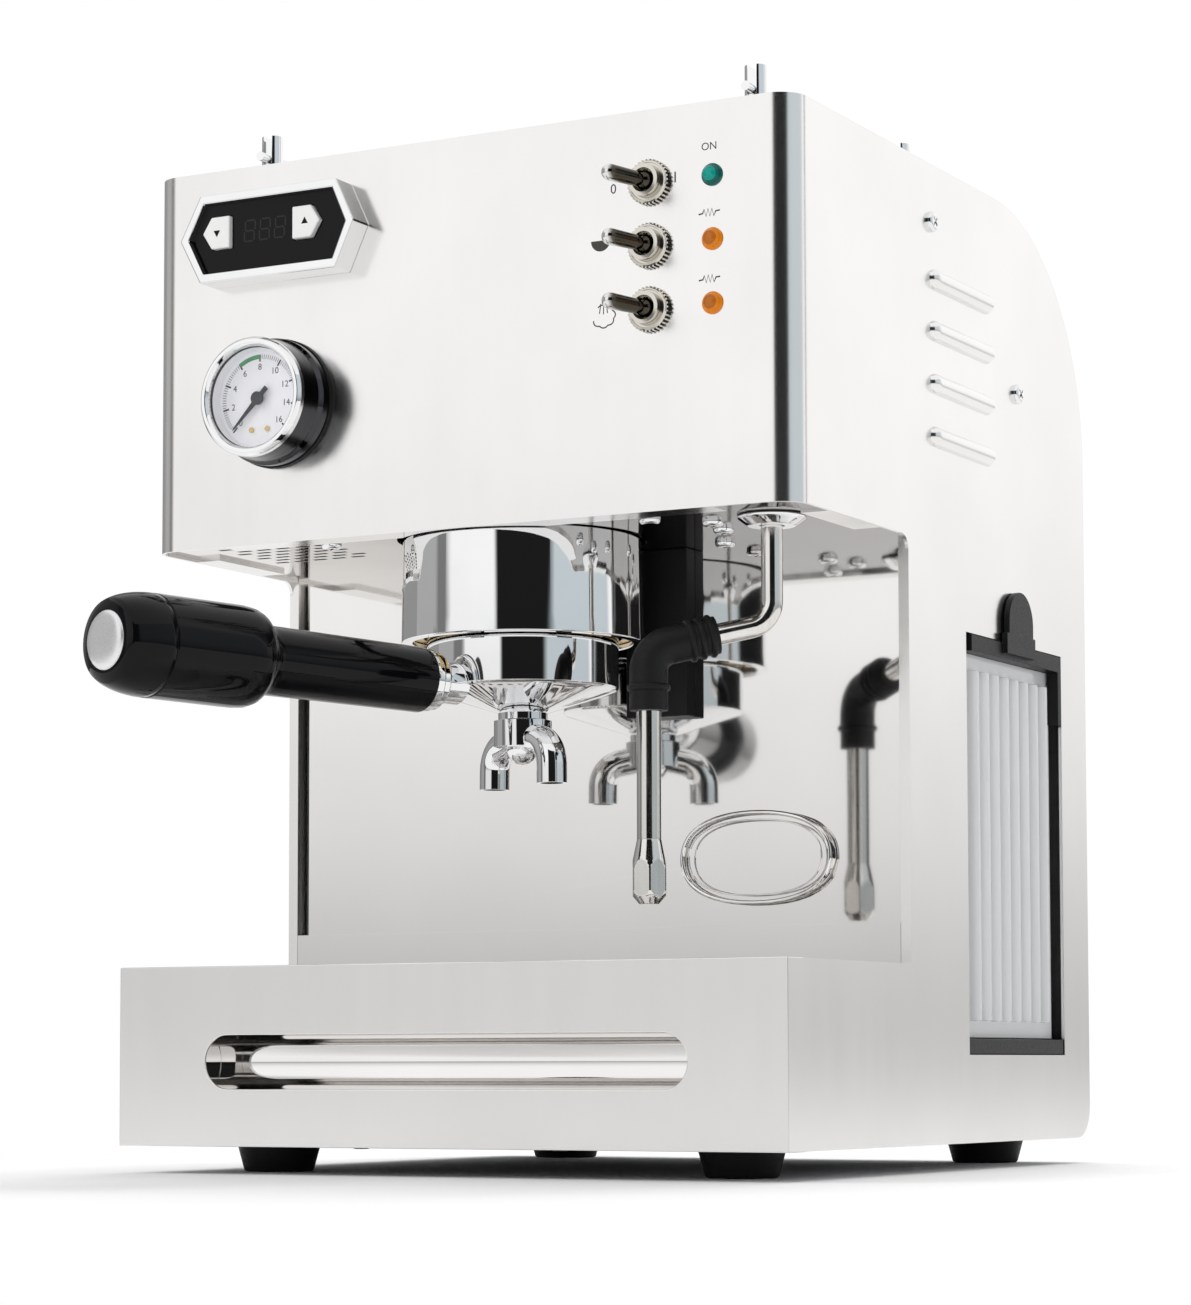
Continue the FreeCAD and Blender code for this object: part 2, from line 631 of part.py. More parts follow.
bodies = []
nuts = []
LEVERS = ("lever_power", "lever_brew", "lever_steam")
lean = math.radians(size("leverLean"))
for i, name in enumerate(LEVERS):
    level = "switchTop - switchPitch * %d" % i
    at = ("switchX", level)
    bushing = joined(rod("5.4", "y", "-5.4", "2", at),
                     box(("switchX - 6.5", "switchX + 6.5"), ("2", "24"),
                         (level + " - 9.5", level + " + 9.5")))
    bodies.append(without(bushing, rod("3.9", "y", "-6", "1.5", at)))
    nuts.append(without(rod("7.5", "y", "-2.6", "0", at), rod("5.45", "y", "-3", "1", at)))
    way = Vector(-math.sin(lean), -math.cos(lean), 0)
    pivot = Vector(size("switchX"), -size("leverPivot"), size(level))
    node(shaped(toggle(pivot, way)), name)
node(together(*bodies), "switch_bodies")
node(together(*nuts), "switch_nuts")


def lamp(i):
    """Indicator lens with its rear body, pushed through the front."""
    at = ("lampX", "switchTop - switchPitch * %d" % i)
    return joined(rod("3.2", "y", "-0.2", "16", at), rod("3.75", "y", "-2.2", "0", at),
                  cone("2.4", "3.75", "y", "-3.2", "-2.2", at))


node(lamp(0), "lamp_green")
node(together(lamp(1), lamp(2)), "lamps_amber")

# ---------------------------------------------------------------- group
group_at = ("0", "groupY", "0")
bell = turned([("channelRadius", "bellBottom"), ("bellRadius", "bellBottom"),
               ("bellRadius - 0.6", "headBottom + 6.5"), ("22", "headBottom + 6.5"),
               ("22", "headBottom + 5"), ("bellRadius - 0.6 - bellWall", "headBottom + 5"),
               ("bellRadius - bellWall", "bellBottom + 2"), ("channelRadius", "bellBottom + 2")])
node(moved(bell, group_at), "group_bell")

head_profile = [
    ("bowlRadius + 1.2", "bellBottom + 2.1"), ("headRadius", "bellBottom + 2.1"),
    ("headRadius", "headBottom + 3"), ("21.8", "headBottom + 3"), ("21.8", "headBottom + 10"),
    ("30", "headBottom + 10"), ("30", "headBottom + 14"), ("3", "headBottom + 14"),
    ("3", "bowlTop + 9"), ("34.2", "bowlTop + 9"), ("34.2", "earBottom + earHeight + 1"),
    ("channelRadius", "earBottom + earHeight + 1"), ("channelRadius", "earBottom - 0.4"),
    ("bowlRadius + 1.2", "earBottom - 0.4"),
]
group_head = moved(turned(head_profile), group_at)
UNLOCK = 35


def turned_block(length, half, low, high, angle):
    """Block across the group axis at an angle, as a shape."""
    block = Part.makeBox(2 * length, 2 * half, high - low, Vector(-length, -half, low))
    block.rotate(Vector(), UPRIGHT, angle)
    block.translate(Vector(0, size("groupY"), 0))
    return block


notch = turned_block(size("channelRadius"), 9, size("bellBottom"), size("earBottom"),
                     -size("handleTurn") - UNLOCK)
node(without(group_head, shaped(notch)), "group_head")
gasket = turned([("27.6", "bowlTop + 0.8"), ("34", "bowlTop + 0.8"), ("34", "bowlTop + 8.9"),
                 ("27.6", "bowlTop + 8.9")])
node(moved(gasket, group_at), "group_gasket")
screen = turned([("0", "bowlTop + 1"), ("4.5", "bowlTop + 1"), ("4.5", "bowlTop + 2"),
                 ("27.3", "bowlTop + 2"), ("27.3", "bowlTop + 8.9"), ("26.3", "bowlTop + 8.9"),
                 ("26.3", "bowlTop + 3"), ("0", "bowlTop + 3")])
node(moved(screen, group_at), "shower_screen")

# ---------------------------------------------------------------- portafilter
yaw = math.radians(size("handleTurn"))
pitch = math.radians(size("handleTilt"))
arm_way = Vector(-math.sin(yaw) * math.cos(pitch), -math.cos(yaw) * math.cos(pitch), math.sin(pitch))
arm_turn = Rotation(Vector(0, 0, 1), arm_way)
arm_at = ("0", "groupY", "handleHeight")

bowl = turned([
    ("2.6", "neckBottom"), ("neckRadius", "neckBottom"), ("neckRadius", "neckTop"),
    ("bowlRadius - 1", "bowlBottom - 0.4"), ("bowlRadius", "bowlBottom + 0.6"), ("bowlRadius", "bowlTop"),
    ("29.5", "bowlTop"), ("29.5", "bowlBottom + 3"), ("8", "neckTop + 4"), ("2.6", "neckTop + 3"),
])
ear_solid = turned_block(size("earRadius"), 8, size("earBottom"), size("earBottom + earHeight"),
                         -size("handleTurn")).common(
    Part.makeCylinder(size("earRadius"), 40, Vector(0, size("groupY"), size("earBottom") - 10)))
ear_solid = ear_solid.cut(Part.makeCylinder(size("bowlRadius") - 1, 60, Vector(0, size("groupY"), 150)))
arm = Part.makeCylinder(7.2, size("ferruleStart") - 27, Vector(0, 0, 27))
arm.Placement = Placement(Vector(0, size("groupY"), size("handleHeight")), arm_turn)
stud = Part.makeCylinder(4, 95 - size("ferruleStart"), Vector(0, 0, size("ferruleStart")))
stud.Placement = arm.Placement
arm = arm.fuse(stud).cut(Part.makeCylinder(31, 60, Vector(0, size("groupY"), 150)))
node(joined(moved(bowl, group_at), shaped(ear_solid), shaped(arm)), "portafilter_bowl")

basket = turned([("0", "bowlBottom + 4"), ("28", "bowlBottom + 4"), ("29", "bowlTop"), ("32.4", "bowlTop"),
                 ("32.4", "bowlTop + 0.5"), ("28.5", "bowlTop + 0.5"), ("27.5", "bowlBottom + 4.5"),
                 ("0", "bowlBottom + 4.5")])
node(moved(basket, group_at), "filter_basket")
ferrule = turned([("4.1", "ferruleStart"), ("8.6", "ferruleStart"),
                  ("ferruleRadius - 0.6", "ferruleStart + 1.6"),
                  ("ferruleRadius - 0.6", "ferruleStart + 4"), ("ferruleRadius", "ferruleStart + 4.4"),
                  ("ferruleRadius", "ferruleEnd"), ("4.1", "ferruleEnd")])
node(moved(ferrule, arm_at, arm_turn), "handle_ferrule")
grip = turned([("4.1", "ferruleEnd"), ("gripRadius", "ferruleEnd"), ("gripRadius + 0.4", "neckEnd"),
               ("bulbRadius - 1", "neckEnd + 5"), ("bulbRadius", "neckEnd + 12"),
               ("bulbRadius", "handleEnd - 16"),
               ("capRadius", "handleEnd"), ("0", "handleEnd"), ("0", "96"), ("4.1", "96")])
fillet(grip, "9", ring_at("handleEnd - 16", "bulbRadius"))
node(moved(grip, arm_at, arm_turn), "handle")
cap = turned([("0", "handleEnd"), ("capRadius", "handleEnd"), ("capRadius - 0.8", "handleEnd + 1.1"),
              ("0", "handleEnd + 1.6")])
node(moved(cap, arm_at, arm_turn), "handle_cap")

spout_turn = -size("handleTurn") - size("spoutTwist")
core = Part.makeCylinder(size("spoutRadius"), 9, Vector(0, 0, 145.5))
core = core.fuse(Part.makeSphere(5.6, Vector(0, 0, 145)))
legs = []
for side in (-1, 1):
    x = side * size("spoutSpread")
    route = [(side * 3, 0, 149), (x * 0.99, 0, 145.5), (x, 0, size("spoutBottom"))]
    legs.append(tube(route, size("spoutTube"), 9))
spout = core.fuse(legs)
for side in (-1, 1):
    x = side * size("spoutSpread")
    spout = spout.cut(Part.makeCylinder(3.9, 9, Vector(x, 0, size("spoutBottom") - 1)))
spout = spout.cut(Part.makeCylinder(2.6, 12, Vector(0, 0, 146)))
spout = spout.cut(Part.makeBox(60, 60, 30, Vector(-30, -30, size("neckBottom") - 0.05)))
spout.rotate(Vector(), UPRIGHT, spout_turn)
spout.translate(Vector(0, size("groupY"), 0))
node(shaped(spout), "twin_spout")

# ---------------------------------------------------------------- steam wand
wand_top = size("headBottom") + 24
pivot = (size("wandX"), size("wandY"))
elbow = (size("elbowX"), size("elbowY"))
bend_point = (*pivot, size("wandBend"))
corner = (*elbow, size("elbowHeight"))
run = Vector(*corner) - Vector(*bend_point)
upper = tube([(*pivot, wand_top), bend_point, corner, (*elbow, size("tipTop"))], size("wandRadius"), 9)
collar = Part.makeCylinder(6, 4, Vector(*pivot, size("headBottom") + 14))
lower_top = size("elbowHeight") - 11
lower = Part.makeCylinder(size("lowerRadius"), lower_top - size("tipTop"), Vector(*elbow, size("tipTop")))
pipe = upper.fuse([collar, lower]).removeSplitter()
node(shaped(pipe), "wand_pipe")

grip_start = Vector(*bend_point) + run * 0.45
grip_route = [tuple(grip_start), corner, (*elbow, size("elbowHeight") - 20)]
sleeve = tube(grip_route, 6.3, 9)
way = Vector(run)
way.normalize()
rings = []
for reach in (2.2, 5.6, 9.0):
    rings.append(Part.makeTorus(6.1, 1.1, grip_start + way * reach, way))
rings.append(Part.makeTorus(6.0, 1.2, Vector(*elbow, size("elbowHeight") - 12.5), UPRIGHT))
sleeve = sleeve.fuse(rings)
sleeve = sleeve.cut(pipe)
node(shaped(sleeve), "wand_grip")

tip_points = [("0", "tipBottom"), ("3.2", "tipBottom"), ("tipRadius - 0.4", "tipBottom + 2.8"),
              ("tipRadius", "tipBottom + 4.4"), ("tipRadius", "tipBottom + 11.6"),
              ("lowerRadius", "tipTop"), ("0", "tipTop")]
tip_blank = moved(turned(tip_points), ("elbowX", "elbowY", "0"))
hexagon = bound("Prism", Polygon="6", Circumradius="tipRadius + 0.25", Height="tipTop - tipBottom + 4",
                at=("elbowX", "elbowY", "tipBottom - 2"))
node(shared(tip_blank, hexagon), "wand_tip")

nut = turned([("4.2", "headBottom - 2.4"), ("8", "headBottom - 2.4"), ("11.5", "headBottom + 0.2"),
              ("11.5", "headBottom + 1.1"), ("4.2", "headBottom + 1.1")])
node(moved(nut, ("wandX", "wandY", "0")), "wand_nut")
wand_house = turned([("4.2", "headBottom + 2.5"), ("11", "headBottom + 2.5"), ("11", "headBottom + 34"),
                     ("0", "headBottom + 34"), ("0", "headBottom + 25"), ("4.2", "headBottom + 25"),
                     ("4.2", "headBottom + 18.3"), ("6.3", "headBottom + 18.3"), ("6.3", "headBottom + 13.7"),
                     ("4.2", "headBottom + 13.7")])
node(moved(wand_house, ("wandX", "wandY", "0")), "wand_valve_body")

# ---------------------------------------------------------------- drip tray
half_tray = "(trayWidth / 2)"
front_plate = box(("-" + half_tray, half_tray), ("-trayFront", "-trayFront + sheet"),
                  ("baseBottom", "baseTop"))
returns = []
for low, high in (("-" + half_tray, "-%s + sheet" % half_tray), (half_tray + " - sheet", half_tray)):
    returns.append(box((low, high), ("-trayFront", "-1.5"), ("baseBottom", "baseTop")))
returns.append(box(("-" + half_tray, half_tray), ("-trayFront", "-trayFront + trayLip"),
                   ("baseTop - sheet", "baseTop")))
returns.append(box(("-" + half_tray, half_tray), ("-trayFront", "-slide"),
                   ("baseBottom", "baseBottom + sheet")))
slot_radius = "((slotHigh - slotLow) / 2)"
slot_level = "((slotHigh + slotLow) / 2)"
slot_tools = [box(("-slotHalf + " + slot_radius, "slotHalf - " + slot_radius),
                  ("-trayFront - 1", "-trayFront + 3"), ("slotLow", "slotHigh"))]
for end in ("-slotHalf + " + slot_radius, "slotHalf - " + slot_radius):
    slot_tools.append(rod(slot_radius, "y", "-trayFront - 1", "-trayFront + 3", (end, slot_level)))
node(without(joined(front_plate, *returns), *slot_tools), "tray_front")

pull_at = ("-trayFront + sheet", slot_level)
pull = without(rod("14", "x", "-slotHalf - 4", "slotHalf + 4", pull_at),
               rod("13", "x", "-slotHalf - 3", "slotHalf + 3", pull_at),
               box(("-bodyWidth", "bodyWidth"), ("-40", "-trayFront + sheet"), ("0", "80")))
node(pull, "finger_pull")

tray_half = "(bodyWidth / 2 - sheet - 5)"
tray_low = "(baseBottom + sheet + trayLift)"
tray_box = box(("-" + tray_half, tray_half), ("4", "columnFront - 1.5"), (tray_low, "trayRim"))
tray_hollow = box(("-%s + trayWall" % tray_half, tray_half + " - trayWall"),
                  ("4 + trayWall", "columnFront - 1.5 - trayWall"), (tray_low + " + trayWall", "trayRim + 1"))
arms = []
for low, high in (("-" + tray_half, "-%s + trayWall" % tray_half), (tray_half + " - trayWall", tray_half)):
    arms.append(box((low, high), ("-trayFront + sheet", "5"), (tray_low, "trayRim")))
skids = [box((x, x + 4), ("6", "columnFront - 4"), ("baseBottom + sheet + 0.1", tray_low + " + 0.5"))
         for x in (-112, -42, 38, 108)]
node(joined(without(tray_box, tray_hollow), *arms, *skids), "drip_tray")

grid_half = "(bodyWidth / 2 - sheet - 4)"
grid_plate = box(("-" + grid_half, grid_half), ("-trayFront + trayLip + slide", "columnFront - 0.7"),
                 ("trayRim + 0.05", "trayRim + 1.25"))
grid_slots = []
for i in range(-12, 13):
    grid_slots.append(box((i * 9 - 1.8, i * 9 + 1.8), ("2", "columnFront - 12"),
                          ("trayRim - 1", "trayRim + 3")))
grid_ribs = [box(("-%s + 6" % grid_half, grid_half + " - 6"), (y, y + 1.2), ("trayRim - 3", "trayRim + 0.05"))
             for y in (9, 76)]
node(without(joined(grid_plate, *grid_ribs), *grid_slots), "drip_grid")

# ---------------------------------------------------------------- water tank
tank_front = "(tankFront + tankInset)"
tank_back = "(tankBack - tankInset)"
tank_outer = "(bodyWidth / 2 - 2.4)"
tank_low = "(windowLow + 6)"
tank_high = "(windowHigh - 6.4)"
flutes = []
flute_count = 8
for i in range(flute_count):
    y = "%s + 10 + %d * (%s - %s - 20) / %d" % (tank_front, i, tank_back, tank_front, flute_count - 1)
    flutes.append(rod("3.2", "z", tank_low + " + 6", tank_high + " - 6", (tank_outer + " - 1.6", y)))
tank_body = box(("tankReach", tank_outer + " - 1.6"), (tank_front, tank_back), (tank_low, tank_high))
tank_inside = box(("tankReach + tankWall", tank_outer + " - 1.6 - tankWall - 3.2"),
                  (tank_front + " + tankWall", tank_back + " - tankWall"),
                  (tank_low + " + tankWall", tank_high + " + 1"))
node(without(joined(tank_body, *flutes), tank_inside), "water_tank")
lid_bar = box(("tankReach", "bodyWidth / 2 + 1"), (tank_front, tank_back), (tank_high, "windowHigh - 0.6"))
tab_middle = "183.7"
tab_sides = ("bodyWidth / 2 + 0.5", "bodyWidth / 2 + 2.7")
lid_tab = joined(box(tab_sides, (tab_middle + " - 13.5", tab_middle + " + 13.5"),
                     ("windowHigh - 4.5", "windowHigh + 3")),
                 box(tab_sides, (tab_middle + " - 11.5", tab_middle + " + 11.5"),
                     ("windowHigh + 3", "tabTop - 11.5")),
                 rod("11.5", "x", *tab_sides, (tab_middle, "tabTop - 11.5")))
lid_leg = box((tank_outer + " - 1", "bodyWidth / 2 + 1"), (tank_back + " - 3", tank_back),
              ("windowHigh - 26", tank_high + " + 1"))
node(joined(lid_bar, lid_tab, lid_leg), "tank_lid")
cradle = joined(box(("tankReach - 4", "bodyWidth / 2 - 0.3"), ("tankFront + 0.3", "tankBack - 0.3"),
                    ("windowLow + 0.3", "windowLow + 5.7")),
                box(("tankReach - 4", "tankReach - 0.5"), ("tankFront + 0.3", "tankBack - 0.3"),
                    ("windowLow + 0.3", "windowLow + 40")))
cradle_legs = [box((x, x + 8), (y, y + 8), ("baseBottom + sheet", "windowLow + 0.5"))
               for x in (30, 108) for y in (146, 214)]
node(joined(cradle, *cradle_legs), "tank_cradle")

# ---------------------------------------------------------------- inside
boiler = turned([("0", "headBottom + 14"), ("boilerRadius", "headBottom + 14"),
                 ("boilerRadius", "boilerTop - 8"),
                 ("boilerRadius + 3", "boilerTop - 8"), ("boilerRadius + 3", "boilerTop"),
                 ("0", "boilerTop")])
node(moved(boiler, group_at), "boiler")
terminals = [rod("2.5", "z", "boilerTop + 5", "boilerTop + 16", (x, "groupY")) for x in (-12, 12)]
node(joined(rod("24", "z", "boilerTop", "boilerTop + 5", ("0", "groupY")), *terminals), "heater_flange")
gear = size("gearFront")
BREW_RISER = (-14, gear + 8)
STEAM_RISER = (48, gear + 16)
shelf = box(("-" + top_inner, top_inner), ("splashFront + 3.7", "bodyDepth - sheet - foldGap"),
            ("shelfHeight", "shelfHeight + sheet"))
shelf_holes = [rod("4.5", "z", "shelfHeight - 3", "shelfHeight + 5", across)
               for across in (BREW_RISER, STEAM_RISER)]
node(without(shelf, *shelf_holes), "equipment_shelf")

shelf_top = "shelfHeight + sheet"
node(box(("62", "112"), ("gearFront", "gearFront + 80"), (shelf_top, "shelfHeight + 52")), "steam_block")
node(box(("-112", "-52"), ("gearFront", "gearFront + 96"), (shelf_top, "shelfHeight + 66")), "control_box")

PUMPS = (-84, -14)
pumps = []
for x in PUMPS:
    coil = box((x - 19, x + 19), ("gearFront + 24", "gearFront + 68"), ("24", "76"))
    nose = rod("11", "y", "gearFront + 68", "gearFront + 98", (x, "52"))
    tail = rod("8", "y", "gearFront", "gearFront + 24", (x, "52"))
    rests = [rod("7", "z", "baseBottom + sheet", "24", (x, y)) for y in ("gearFront + 34", "gearFront + 58")]
    pumps.append(joined(coil, nose, tail, *rests))
node(together(*pumps), "pumps")

node(box(("18", "42"), ("splashFront - 6.7", "splashFront"), ("158", "headBottom + sheet")), "valve_coil")

outlet = gear + 98
tank_side = size("tankReach") - 4
suction = tube([(tank_side, gear + 86, 52), (4, gear + 86, 52), (4, outlet + 16, 52), (-14, outlet + 16, 52),
                (-14, outlet, 52)], 3, 5)
boiler_back = size("groupY") + 34.4
brew = tube([(*BREW_RISER, 60), (*BREW_RISER, 250), (-14, boiler_back, 250)], 3, 8)
over_lid = size("(windowHigh + shelfHeight) / 2")
steam = tube([(-84, gear + 16, 60), (-84, gear + 16, over_lid), (*STEAM_RISER, over_lid), (*STEAM_RISER, 226),
              (62, gear + 16, 226)], 3, 6)
valve_back = size("wandY") + 11
feed = Part.makeCylinder(3, gear - valve_back, Vector(size("wandX"), valve_back, 236), Vector(0, 1, 0))
gauge_spot = (size("gaugeX"), size("gaugeZ"))
boiler_side = size("groupY")
capillary = tube([(gauge_spot[0], 24, gauge_spot[1]), (gauge_spot[0], boiler_side, gauge_spot[1]),
                  (-size("boilerRadius"), boiler_side, gauge_spot[1])], 1.5, 8)
node(together(*[shaped(line) for line in (suction, brew, steam, feed, capillary)]), "water_lines")

node(joined(rod("7", "y", "bodyDepth - 8", "bodyDepth + 8", ("-90", "36")),
            rod("10", "y", "bodyDepth", "bodyDepth + 3", ("-90", "36"))), "cord_inlet")

# ---------------------------------------------------------------- check, centre and write
doc.recompute()
for thing in doc.Objects:
    if "Invalid" in thing.State or "Error" in thing.State:
        raise SystemExit("%s (%s) did not build" % (thing.Label, thing.Name))

# The origin is at bench height under the middle of the whole machine.
front_most = min(thing.Shape.BoundBox.YMin for thing in NODES)
rear_most = max(thing.Shape.BoundBox.YMax for thing in NODES)
centring = Placement(Vector(0, -(front_most + rear_most) / 2, 0), Rotation())
os.makedirs("parts", exist_ok=True)
for thing in NODES:
    shape = thing.Shape
    if shape.isNull() or not shape.isValid():
        raise SystemExit("%s is not a valid shape" % thing.Label)
    shape = shape.copy()
    shape.Placement = centring * shape.Placement
    shape.exportStep("parts/%s.step" % thing.Label)
print("wrote", len(NODES), "nodes, origin shifted by", -(front_most + rear_most) / 2)
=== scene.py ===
import json
import math

import bpy
from mathutils import Euler, Matrix, Vector


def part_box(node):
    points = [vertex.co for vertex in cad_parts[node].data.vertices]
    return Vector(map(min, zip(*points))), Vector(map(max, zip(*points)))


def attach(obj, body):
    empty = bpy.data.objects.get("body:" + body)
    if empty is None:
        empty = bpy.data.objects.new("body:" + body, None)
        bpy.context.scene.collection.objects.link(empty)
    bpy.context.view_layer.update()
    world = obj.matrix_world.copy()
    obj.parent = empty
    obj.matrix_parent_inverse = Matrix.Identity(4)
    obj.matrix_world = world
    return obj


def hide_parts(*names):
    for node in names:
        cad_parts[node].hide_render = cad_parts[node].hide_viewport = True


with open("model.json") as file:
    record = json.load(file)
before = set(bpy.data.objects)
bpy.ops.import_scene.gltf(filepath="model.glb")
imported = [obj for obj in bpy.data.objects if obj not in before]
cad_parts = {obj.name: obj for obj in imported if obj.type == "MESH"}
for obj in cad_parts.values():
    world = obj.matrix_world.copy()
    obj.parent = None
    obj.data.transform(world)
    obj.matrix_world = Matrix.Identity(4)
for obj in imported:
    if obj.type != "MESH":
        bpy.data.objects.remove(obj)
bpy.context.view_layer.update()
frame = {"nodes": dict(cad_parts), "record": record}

# Camera, low in front of the machine's right corner and tilted a little upwards, with the
# frame shifted up so that the uprights stay nearly upright.
sight = bpy.data.cameras.new("sight")
camera = bpy.data.objects.new("sight", sight)
bpy.context.scene.collection.objects.link(camera)
bpy.context.scene.camera = camera
camera.location = (0.61242, -1.09749, 0.03726)
camera.rotation_euler = Euler([math.radians(turn) for turn in (94.028, 0.103, 28.568)], "XYZ")
sight.lens = 99.62
sight.shift_y = 0.12
bpy.context.scene.view_settings.view_transform = "Standard"

# Casing, top and rear covers: stainless sheet 1.2 mm thick, folded and polished to a soft
# satin. The cut edges are broken, and the polish clouds the surface very slightly.
MM = 0.001


class Wire:
    """A node's output; arithmetic on it adds Math nodes."""

    def __init__(self, finish, socket):
        self.finish = finish
        self.socket = socket

    def maths(self, operation, first, second):
        return self.finish.node("ShaderNodeMath", {"operation": operation}, {0: first, 1: second})

    def __add__(self, other):
        return self.maths("ADD", self, other)

    __radd__ = __add__

    def __mul__(self, other):
        return self.maths("MULTIPLY", self, other)

    __rmul__ = __mul__

    def __lt__(self, other):
        return self.maths("LESS_THAN", self, other)


class Finish:
    """A material and its nodes; place is the Object coordinate in metres."""

    def __init__(self, name, **values):
        self.material = bpy.data.materials.new(name)
        self.material.use_nodes = True
        self.tree = self.material.node_tree
        self.shader = self.tree.nodes["Principled BSDF"]
        self.place = self.node("ShaderNodeTexCoord", {}, {}, "Object")
        self.set(**values)

    def set(self, **values):
        """Feeds the shader's sockets; an underscore in a name stands for a space."""
        for name, value in values.items():
            self.feed(self.shader.inputs[name.replace("_", " ")], value)

    def feed(self, socket, value):
        if isinstance(value, Wire):
            self.tree.links.new(value.socket, socket)
        elif socket.type == "RGBA":
            socket.default_value = (*value[:3], 1)
        else:
            socket.default_value = value

    def node(self, kind, settings, values, output=0):
        made = self.tree.nodes.new(kind)
        stops = settings.pop("stops", ())
        for name, value in settings.items():
            setattr(made, name, value)
        for at in range(len(stops) - 2):
            made.color_ramp.elements.new(0.5)
        for element, (position, colour) in zip(made.color_ramp.elements if stops else (), stops):
            element.position = position
            element.color = (*colour, 1) if isinstance(colour, tuple) else (colour, colour, colour, 1)
        for key, value in values.items():
            self.feed(made.inputs[key], value)
        return Wire(self, made.outputs[output])

    def stretched(self, x, y, z):
        return self.node("ShaderNodeMapping", {}, {"Vector": self.place, "Scale": (x, y, z)})

    def noise(self, scale, detail=2.0, place=None):
        return self.node("ShaderNodeTexNoise", {},
                         {"Vector": place or self.place, "Scale": scale, "Detail": detail})

    def ramp(self, value, *stops):
        return self.node("ShaderNodeValToRGB", {"stops": stops}, {"Fac": value})

    def spread(self, value, low, high, near=0.35, far=0.65):
        """A wire between near and far brought to the range low to high."""
        return self.node("ShaderNodeMapRange", {}, {"Value": value, "From Min": near, "From Max": far,
                                                    "To Min": low, "To Max": high})

    def bump(self, height, strength, distance=0.0001):
        return self.node("ShaderNodeBump", {}, {"Height": height, "Strength": strength,
                                                "Distance": distance}, "Normal")

    def mixed(self, factor, first, second):
        return self.node("ShaderNodeMix", {"data_type": "RGBA"},
                         {"Factor": factor, "A": first, "B": second}, 2)


def pick(*pieces):
    if bpy.context.object and bpy.context.object.mode != "OBJECT":
        bpy.ops.object.mode_set(mode="OBJECT")
    bpy.ops.object.select_all(action="DESELECT")
    for piece in pieces:
        piece.select_set(True)
    bpy.context.view_layer.objects.active = pieces[-1] if pieces else None


BODIES = frame["record"]["behaviour"]["bodies"]
BODY_OF = {part: body for body, parts in BODIES.items() for part in parts}
SLOT_OF = {row["node"]: row["material_slot"] for row in frame["record"]["subparts"]}


def mounted(piece, body, slot, finish, *replaced):
    """Gives a piece its body and finish, and hides the nodes that it stands for; the record slot is not
    used.
    """
    piece.data.materials.clear()
    piece.data.materials.append(finish.material)
    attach(piece, body)
    if replaced:
        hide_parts(*replaced)
    return piece


def modified(piece, kind, **settings):
    change = piece.modifiers.new(kind.lower(), kind)
    for name, value in settings.items():
        setattr(change, name, value)
    pick(piece)
    bpy.ops.object.modifier_apply(modifier=change.name)
    return piece


def joined(name, pieces):
    """Sets the places of several pieces into their meshes and joins them into one."""
    pick(*pieces)
    bpy.ops.object.transform_apply(location=True, rotation=True, scale=True)
    if len(pieces) > 1:
        bpy.ops.object.join()
    whole = bpy.context.object
    whole.name = name
    return whole


def rounded(piece, width, segments=2, angle=30):
    """Breaks every edge sharper than angle by a width in millimetres."""
    return modified(piece, "BEVEL", width=width * MM, segments=segments, limit_method="ANGLE",
                    angle_limit=math.radians(angle))


def smoothed(piece, angle=32):
    pick(piece)
    bpy.ops.object.shade_smooth_by_angle(angle=math.radians(angle))
    return piece


def merged_copy(name):
    """A copy of a CAD node whose loose triangles are merged into whole faces."""
    piece = bpy.data.objects.new(name + "_finished", frame["nodes"][name].data.copy())
    bpy.context.scene.collection.objects.link(piece)
    pick(piece)
    bpy.ops.mesh.customdata_custom_splitnormals_clear()
    bpy.ops.object.mode_set(mode="EDIT")
    bpy.ops.mesh.select_all(action="SELECT")
    bpy.ops.mesh.remove_doubles(threshold=0.000002)
    bpy.ops.mesh.dissolve_limited(angle_limit=math.radians(0.3))
    bpy.ops.object.mode_set(mode="OBJECT")
    return piece


def refined(name, finish, width=0.0, segments=2, angle=32):
    """Shows a CAD node as a merged copy with broken edges and smooth curves."""
    piece = merged_copy(name)
    if width:
        rounded(piece, width, segments, angle)
    smoothed(piece, angle)
    modified(piece, "WEIGHTED_NORMAL", mode="FACE_AREA", weight=90, keep_sharp=True)
    return mounted(piece, BODY_OF[name], SLOT_OF[name], finish, name)


def sheet_steel(name, colour, roughness, grain):
    """Polished stainless: faint clouds in the colour and fine upright polishing lines."""
    steel = Finish(name, Metallic=1.0)
    clouds = steel.noise(16.0, 3.0)
    lines = steel.noise(160.0, 2.0, steel.stretched(1.0, 1.0, 0.06))
    duller = tuple(part * 0.965 for part in colour)
    steel.set(Base_Color=steel.mixed(steel.spread(clouds, 0.0, 1.0), colour, duller),
              Roughness=steel.spread(clouds * 0.4 + lines * 0.6, roughness * 0.93, roughness * 1.07),
              Normal=steel.bump(lines, grain, 0.00002))
    return steel


satin_steel = sheet_steel("satin stainless", (0.89, 0.875, 0.862), 0.2, 0.02)
for name in ("casing", "top_cover", "rear_cover"):
    refined(name, satin_steel, 0.22)

